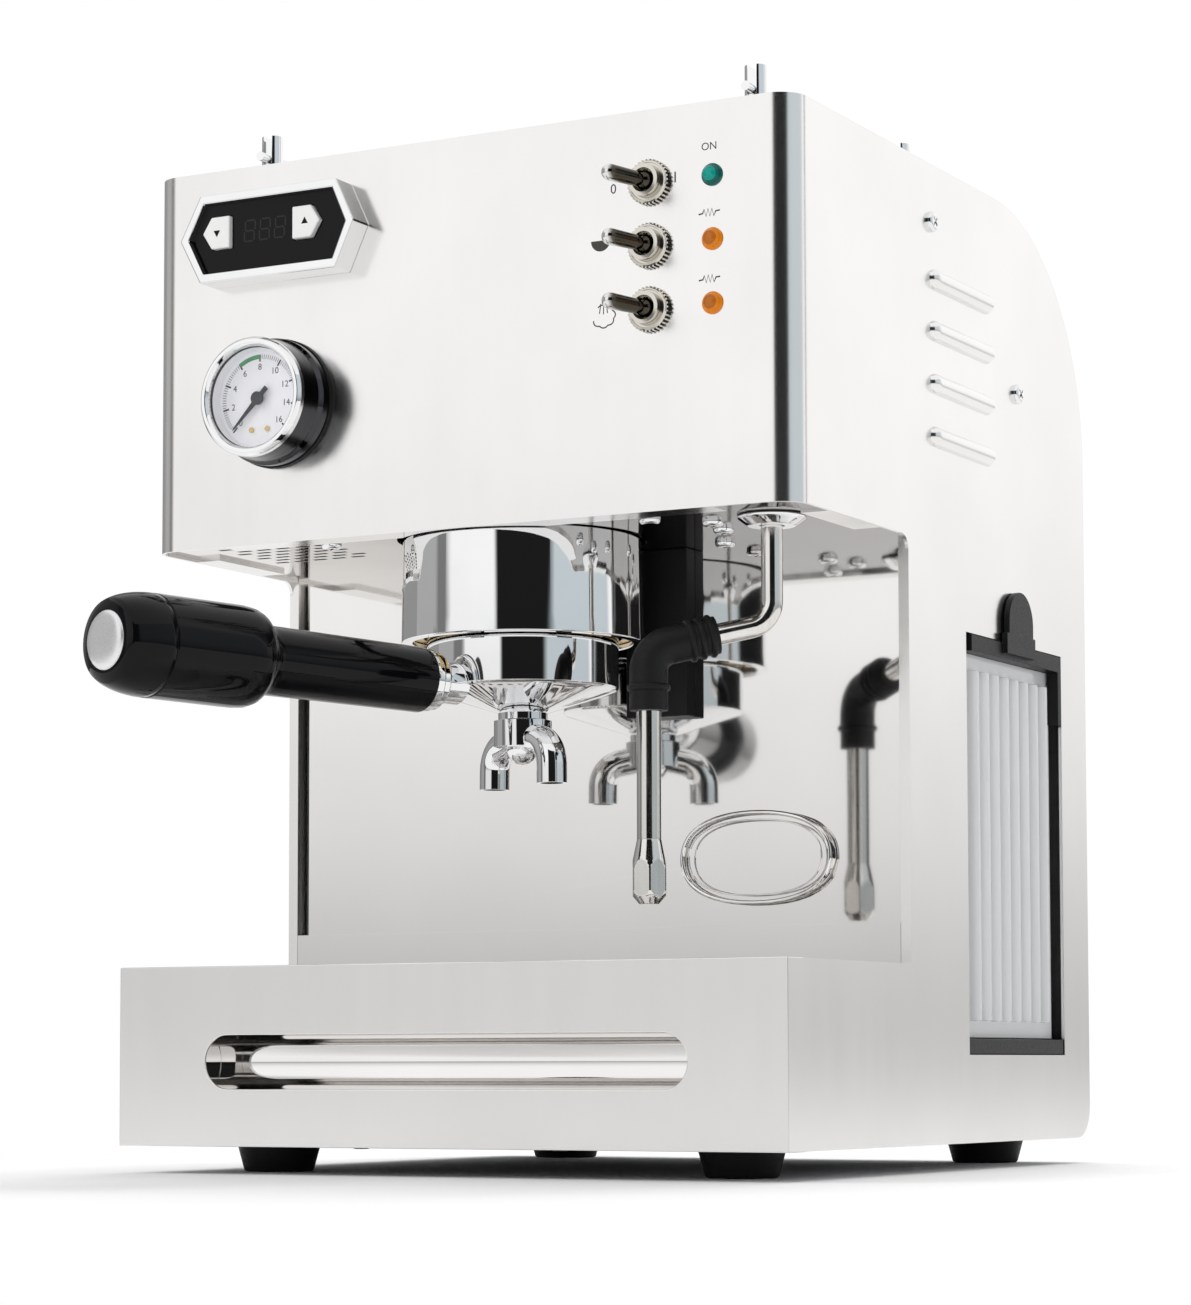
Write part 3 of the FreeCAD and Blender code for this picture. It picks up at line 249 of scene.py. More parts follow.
# Underside plate, backsplash and finger pull: the same stainless, buffed bright so that it
# mirrors the group. The backsplash has a raised oval boss with a rolled rim, left plain.
bright_steel = sheet_steel("bright stainless", (0.86, 0.845, 0.83), 0.05, 0.02)
for name in ("backsplash", "finger_pull"):
    refined(name, bright_steel, 0.25)
# Underside plate: its colour is painted light at the left and near black towards the right, a painted dark
# reflection, with faint random clouds.
underside_painted_reflection = Finish("stainless, painted dark reflection", Metallic=1.0)
across_plate = underside_painted_reflection.node("ShaderNodeSeparateXYZ", {}, {0: underside_painted_reflection.place}, "X")
painted_dark_reflection = across_plate * 4.0 + underside_painted_reflection.noise(22.0, 3.0) * 0.16 + 0.42
underside_painted_reflection.set(Base_Color=underside_painted_reflection.ramp(painted_dark_reflection, (0.02, (0.66, 0.63, 0.6)), (0.3, (0.4, 0.38, 0.35)),
                                  (0.52, (0.1, 0.09, 0.08)), (1.0, (0.13, 0.12, 0.11))),
           Roughness=underside_painted_reflection.spread(underside_painted_reflection.noise(40.0, 3.0), 0.05, 0.1))
refined("underside_plate", underside_painted_reflection, 0.25)

SPLASH_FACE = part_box("backsplash")[0].y
BOSS_ACROSS = 66.4
BOSS_HEIGHT = 108
for half_width, half_height, thick in ((28.2, 15.6, 0.85), (25.4, 13.0, 0.3)):
    pick()
    bpy.ops.curve.primitive_bezier_circle_add(radius=1)
    rim = bpy.context.object
    rim.name = "boss_rim"
    for point in rim.data.splines[0].bezier_points:
        for part in ("handle_left", "handle_right", "co"):
            x, y, z = getattr(point, part)
            setattr(point, part, (x * half_width * MM, y * half_height * MM, 0))
    rim.data.bevel_depth = thick * MM
    rim.data.bevel_resolution = 4
    rim.data.resolution_u = 24
    bpy.ops.object.convert(target="MESH")
    rim = bpy.context.object
    rim.rotation_euler = (math.radians(90), 0, 0)
    rim.location = (BOSS_ACROSS * MM, SPLASH_FACE + thick * MM, BOSS_HEIGHT * MM)
    bpy.ops.object.transform_apply(location=True, rotation=True, scale=True)
    smoothed(rim, 60)
    mounted(rim, "machine", "polished_steel", bright_steel)

# Base pan, equipment shelf and foot screws: zinc-plated steel with a dull spangle. The pan
# and shelf are folded from sheet, and the screws hold the feet under the pan.
zinc = Finish("zinc plate", Metallic=0.9)
spangle = zinc.noise(220.0, 1.0)
zinc.set(Base_Color=zinc.ramp(spangle, (0.3, (0.34, 0.35, 0.37)), (0.7, (0.5, 0.51, 0.53))),
         Roughness=zinc.spread(spangle, 0.32, 0.5))
for name in ("base_pan", "equipment_shelf", "foot_screws"):
    refined(name, zinc)

# Feet: moulded black rubber pads, screwed to the base pan. The ring behind the gauge and the
# group's gasket are the same rubber.
rubber = Finish("black rubber", Base_Color=(0.008, 0.008, 0.009), Specular_IOR_Level=0.22)
pores = rubber.noise(900.0, 3.0)
rubber.set(Roughness=rubber.spread(pores, 0.42, 0.6), Normal=rubber.bump(pores, 0.1))
refined("feet", rubber, 0.9, 3)
refined("gauge_seat", rubber, 0.3)
refined("group_gasket", rubber)

# Screws of the side panels and underside: chromed pan heads with a pressed cross recess. Only
# the heads show, so they stand for the whole screws.
chrome = Finish("bright chrome", Metallic=1.0)
haze = chrome.noise(60.0, 3.0)
chrome.set(Base_Color=chrome.ramp(haze, (0.3, (0.87, 0.87, 0.875)), (0.7, (0.83, 0.835, 0.84))),
           Roughness=chrome.spread(haze, 0.02, 0.05))
HEAD_HEIGHT = 2 * MM
pick()
bpy.ops.mesh.primitive_cylinder_add(vertices=32, radius=3.6 * MM, depth=HEAD_HEIGHT,
                                    location=(0, 0, HEAD_HEIGHT / 2))
screw = bpy.context.object
screw.name = "pan_screw"
bpy.ops.object.mode_set(mode="EDIT")
bpy.ops.mesh.select_all(action="DESELECT")
bpy.ops.object.mode_set(mode="OBJECT")
for face in screw.data.polygons:
    face.select = face.normal.z > 0.9
bpy.ops.object.mode_set(mode="EDIT")
bpy.ops.mesh.bevel(offset=1.5 * MM, segments=5, affect="EDGES")
bpy.ops.object.mode_set(mode="OBJECT")
pick(screw)
bpy.ops.object.transform_apply(location=True, rotation=True, scale=True)
for turn in (45, 135):
    pick()
    bpy.ops.mesh.primitive_cube_add(size=1, location=(0, 0, 2.1 * MM),
                                    rotation=(0, 0, math.radians(turn)))
    blade = bpy.context.object
    blade.scale = (3.9 * MM, 0.85 * MM, 2.2 * MM)
    modified(screw, "BOOLEAN", operation="DIFFERENCE", object=blade, solver="EXACT")
    bpy.data.objects.remove(blade)
merged_copy("panel_screws")
bpy.ops.object.mode_set(mode="EDIT")
bpy.ops.mesh.separate(type="LOOSE")
bpy.ops.object.mode_set(mode="OBJECT")
SIDE_PANEL = 123 * MM
heads = []
for shank in list(bpy.context.selected_objects):
    spots = [corner.co for corner in shank.data.vertices]
    low = Vector([min(spot[axis] for spot in spots) for axis in range(3)])
    high = Vector([max(spot[axis] for spot in spots) for axis in range(3)])
    middle = (low + high) / 2
    head = bpy.data.objects.new("screw_head", screw.data.copy())
    bpy.context.scene.collection.objects.link(head)
    if abs(middle.x) > SIDE_PANEL:
        side = math.copysign(1, middle.x)
        face = high.x - HEAD_HEIGHT if side > 0 else low.x + HEAD_HEIGHT
        seat = Matrix.Translation((face, middle.y, middle.z))
        outward = Euler((0, side * math.radians(90), 0))
    else:
        seat = Matrix.Translation((middle.x, middle.y, low.z + HEAD_HEIGHT))
        outward = Euler((math.radians(180), 0, 0))
    head.matrix_world = seat @ outward.to_matrix().to_4x4()
    heads.append(head)
    bpy.data.objects.remove(shank)
bpy.data.objects.remove(screw)
bpy.context.view_layer.update()
pan_heads = joined("pan_heads", heads)
smoothed(pan_heads, 40)
mounted(pan_heads, "machine", "chrome", chrome, "panel_screws")

# Cup rail and its slotted posts, display surround, wand nut, shower screen and basket: bent,
# turned or pressed metal with bright chrome plate and small broken edges.
for name, width in (("rail_posts", 0.4), ("cup_rail", 0), ("display_bezel", 0.6),
                    ("wand_nut", 0.4), ("shower_screen", 0.2), ("filter_basket", 0.2)):
    refined(name, chrome, width)

# Display: a gloss black window between two white keys; three dim segment digits show in it,
# and each key has a printed black arrow.
black_gloss = Finish("black gloss", Base_Color=(0.003, 0.003, 0.004), Specular_IOR_Level=0.16)
clouding = black_gloss.noise(30.0, 3.0)
black_gloss.set(Roughness=black_gloss.spread(clouding, 0.035, 0.06))
refined("display_panel", black_gloss)
white_plastic = Finish("white moulding", Base_Color=(0.84, 0.84, 0.83))
white_plastic.set(Roughness=white_plastic.spread(white_plastic.noise(500.0), 0.28, 0.38))
ink = Finish("black print", Base_Color=(0.008, 0.008, 0.008), Specular_IOR_Level=0.1)
ink.set(Roughness=ink.spread(ink.noise(800.0), 0.4, 0.55))
for name, turn in (("button_down", 30), ("button_up", -30)):
    refined(name, white_plastic, 0.5, 3)
    low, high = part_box(name)
    pick()
    bpy.ops.mesh.primitive_circle_add(vertices=3, radius=1.55 * MM, fill_type="NGON",
                                      location=((low.x + high.x) / 2 + (0.4 if turn > 0 else -0.4) * MM,
                                                low.y - 0.01 * MM, (low.z + high.z) / 2),
                                      rotation=(math.radians(90), math.radians(180 if turn > 0 else 0), 0))
    arrow = bpy.context.object
    arrow.name = name + "_arrow"
    bpy.ops.object.transform_apply(location=True, rotation=True, scale=True)
    modified(arrow, "SOLIDIFY", thickness=0.04 * MM, offset=0)
    mounted(arrow, BODY_OF[name], "needle_black", ink)

segment_finish = Finish("unlit segments", Base_Color=(0.03, 0.028, 0.024), Specular_IOR_Level=0.1)
segment_finish.set(Roughness=segment_finish.spread(segment_finish.noise(400.0), 0.35, 0.5))
panel_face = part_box("display_panel")[0].y
FIRST_DIGIT = -78.9
DIGIT_PITCH = 6.2
DIGIT_HEIGHT = 323.8
SLANT = 0.12
segments = []
for digit in range(3):
    for across, up, upright in ((0, 3.6, 0), (0, 0, 0), (0, -3.6, 0), (-2, 1.8, 1), (2, 1.8, 1),
                                (-2, -1.8, 1), (2, -1.8, 1)):
        along = FIRST_DIGIT + digit * DIGIT_PITCH + across + up * SLANT
        pick()
        bpy.ops.mesh.primitive_cube_add(size=1, location=(along * MM, panel_face + 0.01 * MM,
                                                          (DIGIT_HEIGHT + up) * MM))
        bar = bpy.context.object
        bar.scale = (0.6 * MM, 0.06 * MM, 3.1 * MM) if upright else (3.3 * MM, 0.06 * MM, 0.6 * MM)
        segments.append(bar)
digits = joined("display_digits", segments)
rounded(digits, 0.12, 1)
mounted(digits, "machine", "black_gloss", segment_finish)

# Gauge: white printed dial with a 0 to 16 scale, a green working range, two small brass
# screws and a black needle on its hub, under a flat clear lens in a metal bezel.
dial_white = Finish("printed dial", Base_Color=(0.93, 0.93, 0.96))
dial_white.set(Roughness=dial_white.spread(dial_white.noise(700.0), 0.4, 0.5))
refined("gauge_dial", dial_white)
refined("gauge_needle", ink, 0.1)
black_matte = Finish("black moulding", Base_Color=(0.009, 0.009, 0.01), Specular_IOR_Level=0.25)
grain = black_matte.noise(1400.0, 2.0)
black_matte.set(Roughness=black_matte.spread(grain, 0.34, 0.46), Normal=black_matte.bump(grain, 0.08))
refined("gauge_case", black_matte, 0.3)
lens_clear = Finish("clear lens", Base_Color=(0.9, 0.92, 0.94))
rim_gloss = lens_clear.node("ShaderNodeLayerWeight", {}, {"Blend": 0.35}, "Facing")
lens_clear.set(Roughness=lens_clear.spread(lens_clear.noise(80.0), 0.01, 0.03),
               Alpha=rim_gloss * 0.2 + 0.02)
refined("gauge_lens", lens_clear, 0.2)

low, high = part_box("gauge_dial")
dial = Vector(((low.x + high.x) / 2, low.y, (low.z + high.z) / 2))


def on_dial(radius, degrees, lift=0.02):
    """A point on the dial; degrees run clockwise from the top."""
    turn = math.radians(degrees)
    return dial + Vector((radius * math.sin(turn) * MM, -lift * MM, radius * math.cos(turn) * MM))


SCALE_START = -135
SCALE_SWEEP = 270
SCALE_RADIUS = 15.3
TICKS = 80
ticks = []
for step in range(TICKS + 1):
    degrees = SCALE_START + step * SCALE_SWEEP / TICKS
    length, width = (2.4, 0.62) if step % 10 == 0 else (1.5, 0.2)
    pick()
    bpy.ops.mesh.primitive_cube_add(size=1, location=on_dial(SCALE_RADIUS - length / 2, degrees),
                                    rotation=(0, math.radians(degrees), 0))
    tick = bpy.context.object
    tick.scale = (width * MM, 0.04 * MM, length * MM)
    ticks.append(tick)
scale_ticks = joined("gauge_ticks", ticks)
rounded(scale_ticks, 0.02, 1)
mounted(scale_ticks, "machine", "needle_black", ink)


def lettered(text, size, place, name):
    """Upright figures facing the front, centred on a place."""
    pick()
    bpy.ops.object.text_add(location=place, rotation=(math.radians(90), 0, 0))
    figures = bpy.context.object
    figures.data.body = text
    figures.data.size = size * MM
    figures.data.align_x = "CENTER"
    figures.data.align_y = "CENTER"
    figures.data.extrude = 0.02 * MM
    figures.data.resolution_u = 4
    bpy.ops.object.convert(target="MESH")
    figures = bpy.context.object
    figures.name = name
    bpy.ops.object.transform_apply(location=True, rotation=True, scale=True)
    return figures


TOP_VALUE = 16
numbers = []
for value in range(0, TOP_VALUE + 1, 2):
    place = on_dial(11.0, SCALE_START + value * SCALE_SWEEP / TOP_VALUE)
    numbers.append(lettered(str(value), 3.1, place, "gauge_number"))
gauge_numbers = joined("gauge_numbers", numbers)
mounted(gauge_numbers, "machine", "needle_black", ink)

green_print = Finish("green print", Base_Color=(0.02, 0.28, 0.08))
green_print.set(Roughness=green_print.spread(green_print.noise(600.0), 0.4, 0.5))
pick()
bpy.ops.mesh.primitive_plane_add(size=1, location=on_dial(14.6, 0, 0.03),
                                 rotation=(math.radians(90), 0, 0))
arc = bpy.context.object
arc.name = "gauge_range"
arc.scale = (0.05 * MM, 1.5 * MM, 1)
bpy.ops.object.transform_apply(location=True, rotation=True, scale=True)
bpy.ops.object.mode_set(mode="EDIT")
bpy.ops.mesh.select_all(action="SELECT")
bpy.ops.mesh.spin(steps=16, angle=math.radians(34), center=tuple(dial), axis=(0, 1, 0))
bpy.ops.mesh.select_all(action="SELECT")
bpy.ops.mesh.remove_doubles(threshold=0.000001)
bpy.ops.mesh.normals_make_consistent(inside=False)
bpy.ops.object.mode_set(mode="OBJECT")
modified(arc, "SOLIDIFY", thickness=0.04 * MM, offset=0)
mounted(arc, "machine", "green_lamp", green_print)

LATHE_STEPS = 96


def turned(name, profile, place, way):
    """Lathe-turned piece: (radius, height) corners in millimetres, spun about its own axis."""
    pick()
    bpy.ops.mesh.primitive_plane_add(size=0.001, location=(0, 0, 0))
    piece = bpy.context.object
    piece.name = name
    bpy.ops.object.mode_set(mode="EDIT")
    bpy.ops.mesh.select_all(action="SELECT")
    bpy.ops.mesh.merge(type="CENTER")
    here = Vector((profile[0][0], 0, profile[0][1])) * MM
    bpy.ops.transform.translate(value=here)
    for radius, height in profile[1:]:
        there = Vector((radius, 0, height)) * MM
        bpy.ops.mesh.extrude_region_move(TRANSFORM_OT_translate={"value": there - here})
        here = there
    bpy.ops.mesh.select_all(action="SELECT")
    bpy.ops.mesh.spin(steps=LATHE_STEPS, angle=math.radians(360), center=(0, 0, 0), axis=(0, 0, 1))
    bpy.ops.mesh.select_all(action="SELECT")
    bpy.ops.mesh.remove_doubles(threshold=0.000002)
    bpy.ops.mesh.normals_make_consistent(inside=False)
    bpy.ops.object.mode_set(mode="OBJECT")
    piece.rotation_euler = Vector(way).to_track_quat("Z", "Y").to_euler()
    piece.location = place
    bpy.ops.object.transform_apply(location=True, rotation=True, scale=True)
    return piece


liner_profile = [(16.6, 0.05), (17.05, 3.5), (17.15, 3.5), (17.15, 0.05), (16.6, 0.05)]
liner = smoothed(turned("gauge_liner", liner_profile, dial, (0, -1, 0)), 60)
mounted(liner, "machine", "dial_white", dial_white)

# Gauge bezel: bright chrome over its front 3.2 mm; further back its sides are painted near black, a painted
# dark reflection.
rim_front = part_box("gauge_bezel")[0].y
bezel_painted_reflection = Finish("bezel chrome, painted dark sides", Metallic=1.0)
depth_in = bezel_painted_reflection.node("ShaderNodeSeparateXYZ", {}, {0: bezel_painted_reflection.place}, "Y")
painted_dark_sides = bezel_painted_reflection.mixed(depth_in < (rim_front + 3.2 * MM), (0.06, 0.06, 0.065), (0.86, 0.86, 0.865))
bezel_painted_reflection.set(Base_Color=painted_dark_sides, Roughness=bezel_painted_reflection.spread(bezel_painted_reflection.noise(60.0, 3.0), 0.03, 0.06))
refined("gauge_bezel", bezel_painted_reflection, 0.25)

brass = Finish("cast brass", Metallic=1.0)
brass_cloud = brass.noise(50.0, 3.0)
brass.set(Base_Color=brass.ramp(brass_cloud, (0.3, (0.62, 0.44, 0.17)), (0.7, (0.78, 0.58, 0.26))),
          Roughness=brass.spread(brass_cloud, 0.2, 0.34))
PIN_RADIUS = 11.0
pins = []
for degrees in (-163, 163):
    pick()
    bpy.ops.mesh.primitive_cylinder_add(vertices=24, radius=0.95 * MM, depth=0.5 * MM,
                                        location=on_dial(PIN_RADIUS, degrees, 0.25),
                                        rotation=(math.radians(90), 0, 0))
    pin = bpy.context.object
    pick()
    bpy.ops.mesh.primitive_cube_add(size=1, location=on_dial(PIN_RADIUS, degrees, 0.55),
                                    rotation=(0, math.radians(40), 0))
    blade = bpy.context.object
    blade.scale = (2.4 * MM, 0.4 * MM, 0.3 * MM)
    modified(pin, "BOOLEAN", operation="DIFFERENCE", object=blade, solver="EXACT")
    bpy.data.objects.remove(blade)
    pins.append(pin)
dial_screws = joined("dial_screws", pins)
smoothed(dial_screws, 40)
mounted(dial_screws, "machine", "brass", brass)

# Toggle switches: a knurled nickel nut clamps each threaded bushing, and the turned lever
# leans to the left. Their marks are etched grey in the front.
low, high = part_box("switch_nuts")
switch_x = (low.x + high.x) / 2
levels = [high.z - 7.5 * MM, (low.z + high.z) / 2, low.z + 7.5 * MM]
NUT_RADIUS = 7.05
NUT_TEETH = 34
NUT_PROFILE = [(5.45, 0), (NUT_RADIUS, 0), (NUT_RADIUS, 2.0), (6.7, 2.55), (6.3, 2.6),
               (6.15, 2.3), (5.45, 2.3), (5.45, 0)]
nuts = []
for level in levels:
    nut = turned("knurled_nut", NUT_PROFILE, (switch_x, high.y, level), (0, -1, 0))
    for tooth in range(NUT_TEETH):
        turn = math.radians(tooth * 360 / NUT_TEETH)
        pick()
        bpy.ops.mesh.primitive_cube_add(size=1, rotation=(0, -turn, 0),
                                        location=(switch_x + NUT_RADIUS * MM * math.cos(turn),
                                                  high.y - 1.05 * MM,
                                                  level + NUT_RADIUS * MM * math.sin(turn)))
        ridge = bpy.context.object
        ridge.scale = (0.9 * MM, 1.9 * MM, 0.55 * MM)
        nuts.append(ridge)
    nuts.append(nut)
knurled_nuts = joined("knurled_nuts", nuts)
smoothed(knurled_nuts, 25)
nickel = Finish("nickel plate", Metallic=1.0)
nickel_cloud = nickel.noise(120.0)
nickel.set(Base_Color=nickel.ramp(nickel_cloud, (0.3, (0.62, 0.59, 0.53)), (0.7, (0.72, 0.69, 0.63))),
           Roughness=nickel.spread(nickel_cloud, 0.12, 0.22))
mounted(knurled_nuts, "machine", "chrome", nickel, "switch_nuts")
refined("switch_bodies", nickel, 0.3)
# Levers: the shafts are painted dark brown-black, a painted dark reflection, and the tips towards the left
# are painted near white, a painted highlight.
lever_painted_light = Finish("lever nickel, painted reflection and highlight", Metallic=1.0)
painted_tip_highlight = lever_painted_light.node("ShaderNodeSeparateXYZ", {}, {0: lever_painted_light.place}, "X") * -400.0 + 28.4
lever_painted_light.set(Base_Color=lever_painted_light.ramp(painted_tip_highlight + lever_painted_light.noise(300.0) * 0.2, (0.1, (0.07, 0.06, 0.045)),
                                  (0.5, (0.1, 0.088, 0.07)), (1.0, (0.78, 0.77, 0.75))),
           Roughness=lever_painted_light.spread(lever_painted_light.noise(200.0), 0.08, 0.16))
for name in ("lever_power", "lever_brew", "lever_steam"):
    refined(name, lever_painted_light, 0.12)
# A thin black ring just inside each knurl shows between the teeth: painted shade and painted dark
# reflection in the gaps.
for level in levels:
    tooth_shade_ring = turned("nut_painted_shade", [(6.9, 0.15), (7.15, 0.15), (7.15, 1.85), (6.9, 1.85), (6.9, 0.15)],
                    (switch_x, high.y, level), (0, -1, 0))
    smoothed(tooth_shade_ring, 40)
    mounted(tooth_shade_ring, "machine", "nickel", ink)

etched = Finish("etched mark", Base_Color=(0.07, 0.065, 0.06), Specular_IOR_Level=0.1)
etched.set(Roughness=etched.spread(etched.noise(900.0), 0.5, 0.65))
front_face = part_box("casing")[0].y


def drawn(name, lines, thick, loops=False):
    """Fine round strokes through (x, z) points in millimetres, just on the front face."""
    strokes = bpy.data.curves.new(name, "CURVE")
    strokes.dimensions = "3D"
    strokes.bevel_depth = thick / 2 * MM
    strokes.bevel_resolution = 1
    for line in lines:
        spline = strokes.splines.new("POLY")
        spline.points.add(len(line) - 1)
        spline.use_cyclic_u = loops
        for point, (x, z) in zip(spline.points, line):
            point.co = (x * MM, 0, z * MM, 1)
    piece = bpy.data.objects.new(name, strokes)
    bpy.context.scene.collection.objects.link(piece)
    pick(piece)
    bpy.ops.object.convert(target="MESH")
    piece = bpy.context.object
    piece.scale = (1, 0.06, 1)
    piece.location = (0, front_face - 0.01 * MM, 0)
    bpy.ops.object.transform_apply(location=True, rotation=True, scale=True)
    return piece


mark_face = front_face - 0.02 * MM
marks = [lettered("1", 5.2, (82.2 * MM, mark_face, 324.6 * MM), "mark_one"),
         lettered("0", 4.6, (59.4 * MM, mark_face, 323.4 * MM), "mark_off"),
         lettered("ON", 3.6, (94.6 * MM, mark_face, 333.4 * MM), "mark_on")]
HEATER = ((90.7, -0.2), (92.2, 0), (92.7, 1.3), (93.4, -1.1), (94.1, 1.4), (94.8, -1.1),
          (95.5, 1.4), (96.2, -1.1), (96.9, 0.4), (98.4, 0.5))
for rise in (311.6, 289.9):
    wave = [(x, rise + z) for x, z in HEATER]
    marks.append(drawn("mark_heat", [wave], 0.6))
cloud = []
for step in range(60):
    turn = math.radians(200 + step * 280 / 59)
    puff = 3.9 + 0.55 * abs(math.sin(step * math.pi / 10))
    cloud.append((55.6 + puff * math.cos(turn), 281.6 + puff * 0.86 * math.sin(turn)))
marks.append(drawn("mark_steam", [cloud], 0.5))
jets = [[(54.1, 282.6), (54.6, 285.9)], [(55.6, 282.3), (55.7, 286)], [(57.1, 282.6), (56.7, 285.9)]]
marks.append(drawn("mark_jets", jets, 0.4))
CUP_BRIM = 306.9 * MM
pick()
bpy.ops.mesh.primitive_circle_add(vertices=24, radius=3.6 * MM, fill_type="NGON",
                                  rotation=(math.radians(90), 0, 0),
                                  location=(54.6 * MM, mark_face, CUP_BRIM))
cup = bpy.context.object
bpy.ops.object.transform_apply(location=True, rotation=True, scale=True)
bpy.ops.object.mode_set(mode="EDIT")
bpy.ops.mesh.select_all(action="SELECT")
bpy.ops.mesh.bisect(plane_co=(0, 0, CUP_BRIM), plane_no=(0, 0, 1), use_fill=False, clear_outer=True)
bpy.ops.object.mode_set(mode="OBJECT")
modified(cup, "SOLIDIFY", thickness=0.03 * MM, offset=0)
marks.append(cup)
front_marks = joined("front_marks", marks)
mounted(front_marks, "machine", "needle_black", etched)

# Indicator lamps: coloured plastic lenses, teal over two amber, pushed in from the front.
# Each has a domed middle of another shade.
LAMP_LENS = [(0, -15.8), (3.1, -15.8), (3.1, 0), (3.7, 0), (3.7, 0.45), (3.35, 0.85), (3.0, 0.95),
             (2.85, 1.7), (2.4, 2.3), (1.9, 2.55), (1.75, 2.45), (1.6, 2.6), (0.9, 2.85), (0, 2.9)]
LAMP_INSET = 3.75
LAMP_PITCH = 21
lens_colours = {"lamp_green": ((0.0, 0.1, 0.085), (0.0, 0.3, 0.25), 1),
                "lamps_amber": ((0.72, 0.21, 0.002), (0.42, 0.12, 0.012), 2)}
for name, (outer, inner, count) in lens_colours.items():
    moulding = Finish(name + " lens", Specular_IOR_Level=0.3, Emission_Color=outer, Emission_Strength=0.08)
    level_in = moulding.node("ShaderNodeSeparateXYZ", {}, {0: moulding.place}, "Y")
    moulding.set(Base_Color=moulding.mixed(level_in < (front_face - 2.3 * MM), outer, inner),
                 Roughness=moulding.spread(moulding.noise(400.0), 0.08, 0.15))
    low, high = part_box(name)
    lenses = []
    for at in range(count):
        place = ((low.x + high.x) / 2, front_face, high.z - (LAMP_INSET + at * LAMP_PITCH) * MM)
        lenses.append(turned(name + "_lens", LAMP_LENS, place, (0, -1, 0)))
    lens = joined(name + "_lens", lenses)
    smoothed(lens, 35)
    mounted(lens, "machine", SLOT_OF[name], moulding, name)

# Group: a spun and chromed bell over the cast brass head. The boiler, its heater flange and
# the wand's valve body are brass too.
refined("group_bell", chrome, 0.5, 3)
for name in ("group_head", "boiler", "heater_flange", "wand_valve_body"):
    refined(name, brass, 0.3)

# Portafilter: chromed brass bowl and twin spout, a chrome ferrule, and a gloss black moulded
# handle with a swollen end that a fine seam parts from its dome, closed by a silver disc.
refined("portafilter_bowl", chrome, 0.4, 3)
refined("twin_spout", chrome, 0.35, 3, 40)
refined("handle_ferrule", chrome, 0.3)
low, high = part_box("handle_cap")
handle_end = (low + high) / 2
low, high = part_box("group_bell")
ARM_HEIGHT = 164.3
SEAM = 158.8
END_FACE = 174.3
group_middle = Vector(((low.x + high.x) / 2, (low.y + high.y) / 2, ARM_HEIGHT * MM))
arm = (handle_end - group_middle).normalized()
grip_profile = [(4.1, 47), (11, 47), (11.05, 60), (11.35, 112), (11.5, 114.6), (12.4, 116.2), (15.4, 118.4),
                (16.2, 120.6), (16.55, 124), (16.6, 128), (16.6, SEAM - 0.9), (16.3, SEAM - 0.65),
                (16.3, SEAM - 0.25), (16.55, SEAM)]
for step in range(1, 13):
    turn = math.radians(step * 90 / 12 * 0.72)
    grip_profile.append((9.75 + 6.8 * math.cos(turn), SEAM + 17.2 * math.sin(turn)))
grip_profile = [(radius, along) for radius, along in grip_profile if along < END_FACE - 0.4]
grip_profile += [(9.9, END_FACE), (9.5, END_FACE), (0, END_FACE)]
grip = turned("grip", grip_profile, group_middle, arm)
smoothed(grip, 50)
mounted(grip, "portafilter", "black_gloss", black_gloss, "handle")
silver = Finish("silver lacquer", Metallic=0.85)
sparkle = silver.noise(2500.0, 1.0)
silver.set(Base_Color=silver.ramp(sparkle, (0.3, (0.78, 0.78, 0.78)), (0.7, (0.9, 0.9, 0.9))),
           Roughness=silver.spread(sparkle, 0.3, 0.42))
disc_profile = [(9.45, 174.0), (9.45, 174.5), (8.9, 175.1), (7.4, 175.6), (5, 175.9), (2.5, 176.05),
                (0, 176.1)]
disc = turned("end_disc", disc_profile, group_middle, arm)
smoothed(disc, 60)
mounted(disc, "portafilter", "nickel", silver, "handle_cap")

# Steam wand: bent stainless tube with a stainless tip. The elbow grip is black rubber pushed
# over the tube, with a ribbed collar.
wand_steel = Finish("wand stainless", Metallic=1.0)
drawn_lines = wand_steel.noise(120.0, 2.0, wand_steel.stretched(4.0, 4.0, 0.3))
wand_steel.set(Base_Color=wand_steel.ramp(drawn_lines, (0.3, (0.72, 0.70, 0.67)), (0.7, (0.8, 0.78, 0.75))),
               Roughness=wand_steel.spread(drawn_lines, 0.08, 0.16))
refined("wand_pipe", wand_steel)
refined("wand_tip", wand_steel, 0.3)
refined("wand_grip", rubber, 0.2)
low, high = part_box("wand_tip")
drop = Vector(((low.x + high.x) / 2, (low.y + high.y) / 2, 0))
collar_profile = [(5.0, 152.6)]
for ridge in range(4):
    foot = 153.2 + ridge * 3.1
    collar_profile += [(5.35, foot), (6.0, foot + 0.5), (6.15, foot + 1.0), (6.0, foot + 1.5),
                       (5.35, foot + 2.0)]
collar_profile += [(5.0, 165.2), (5.0, 152.6)]
collar = smoothed(turned("grip_collar", collar_profile, drop, (0, 0, 1)), 50)
mounted(collar, "wand", "rubber", rubber)

# Drip tray: satin stainless front with a rounded slot over the bright pull, a stainless well
# behind it and a slotted grid that lifts off.
refined("tray_front", satin_steel, 0.35)
refined("drip_tray", satin_steel, 0.2)
refined("drip_grid", satin_steel, 0.25)

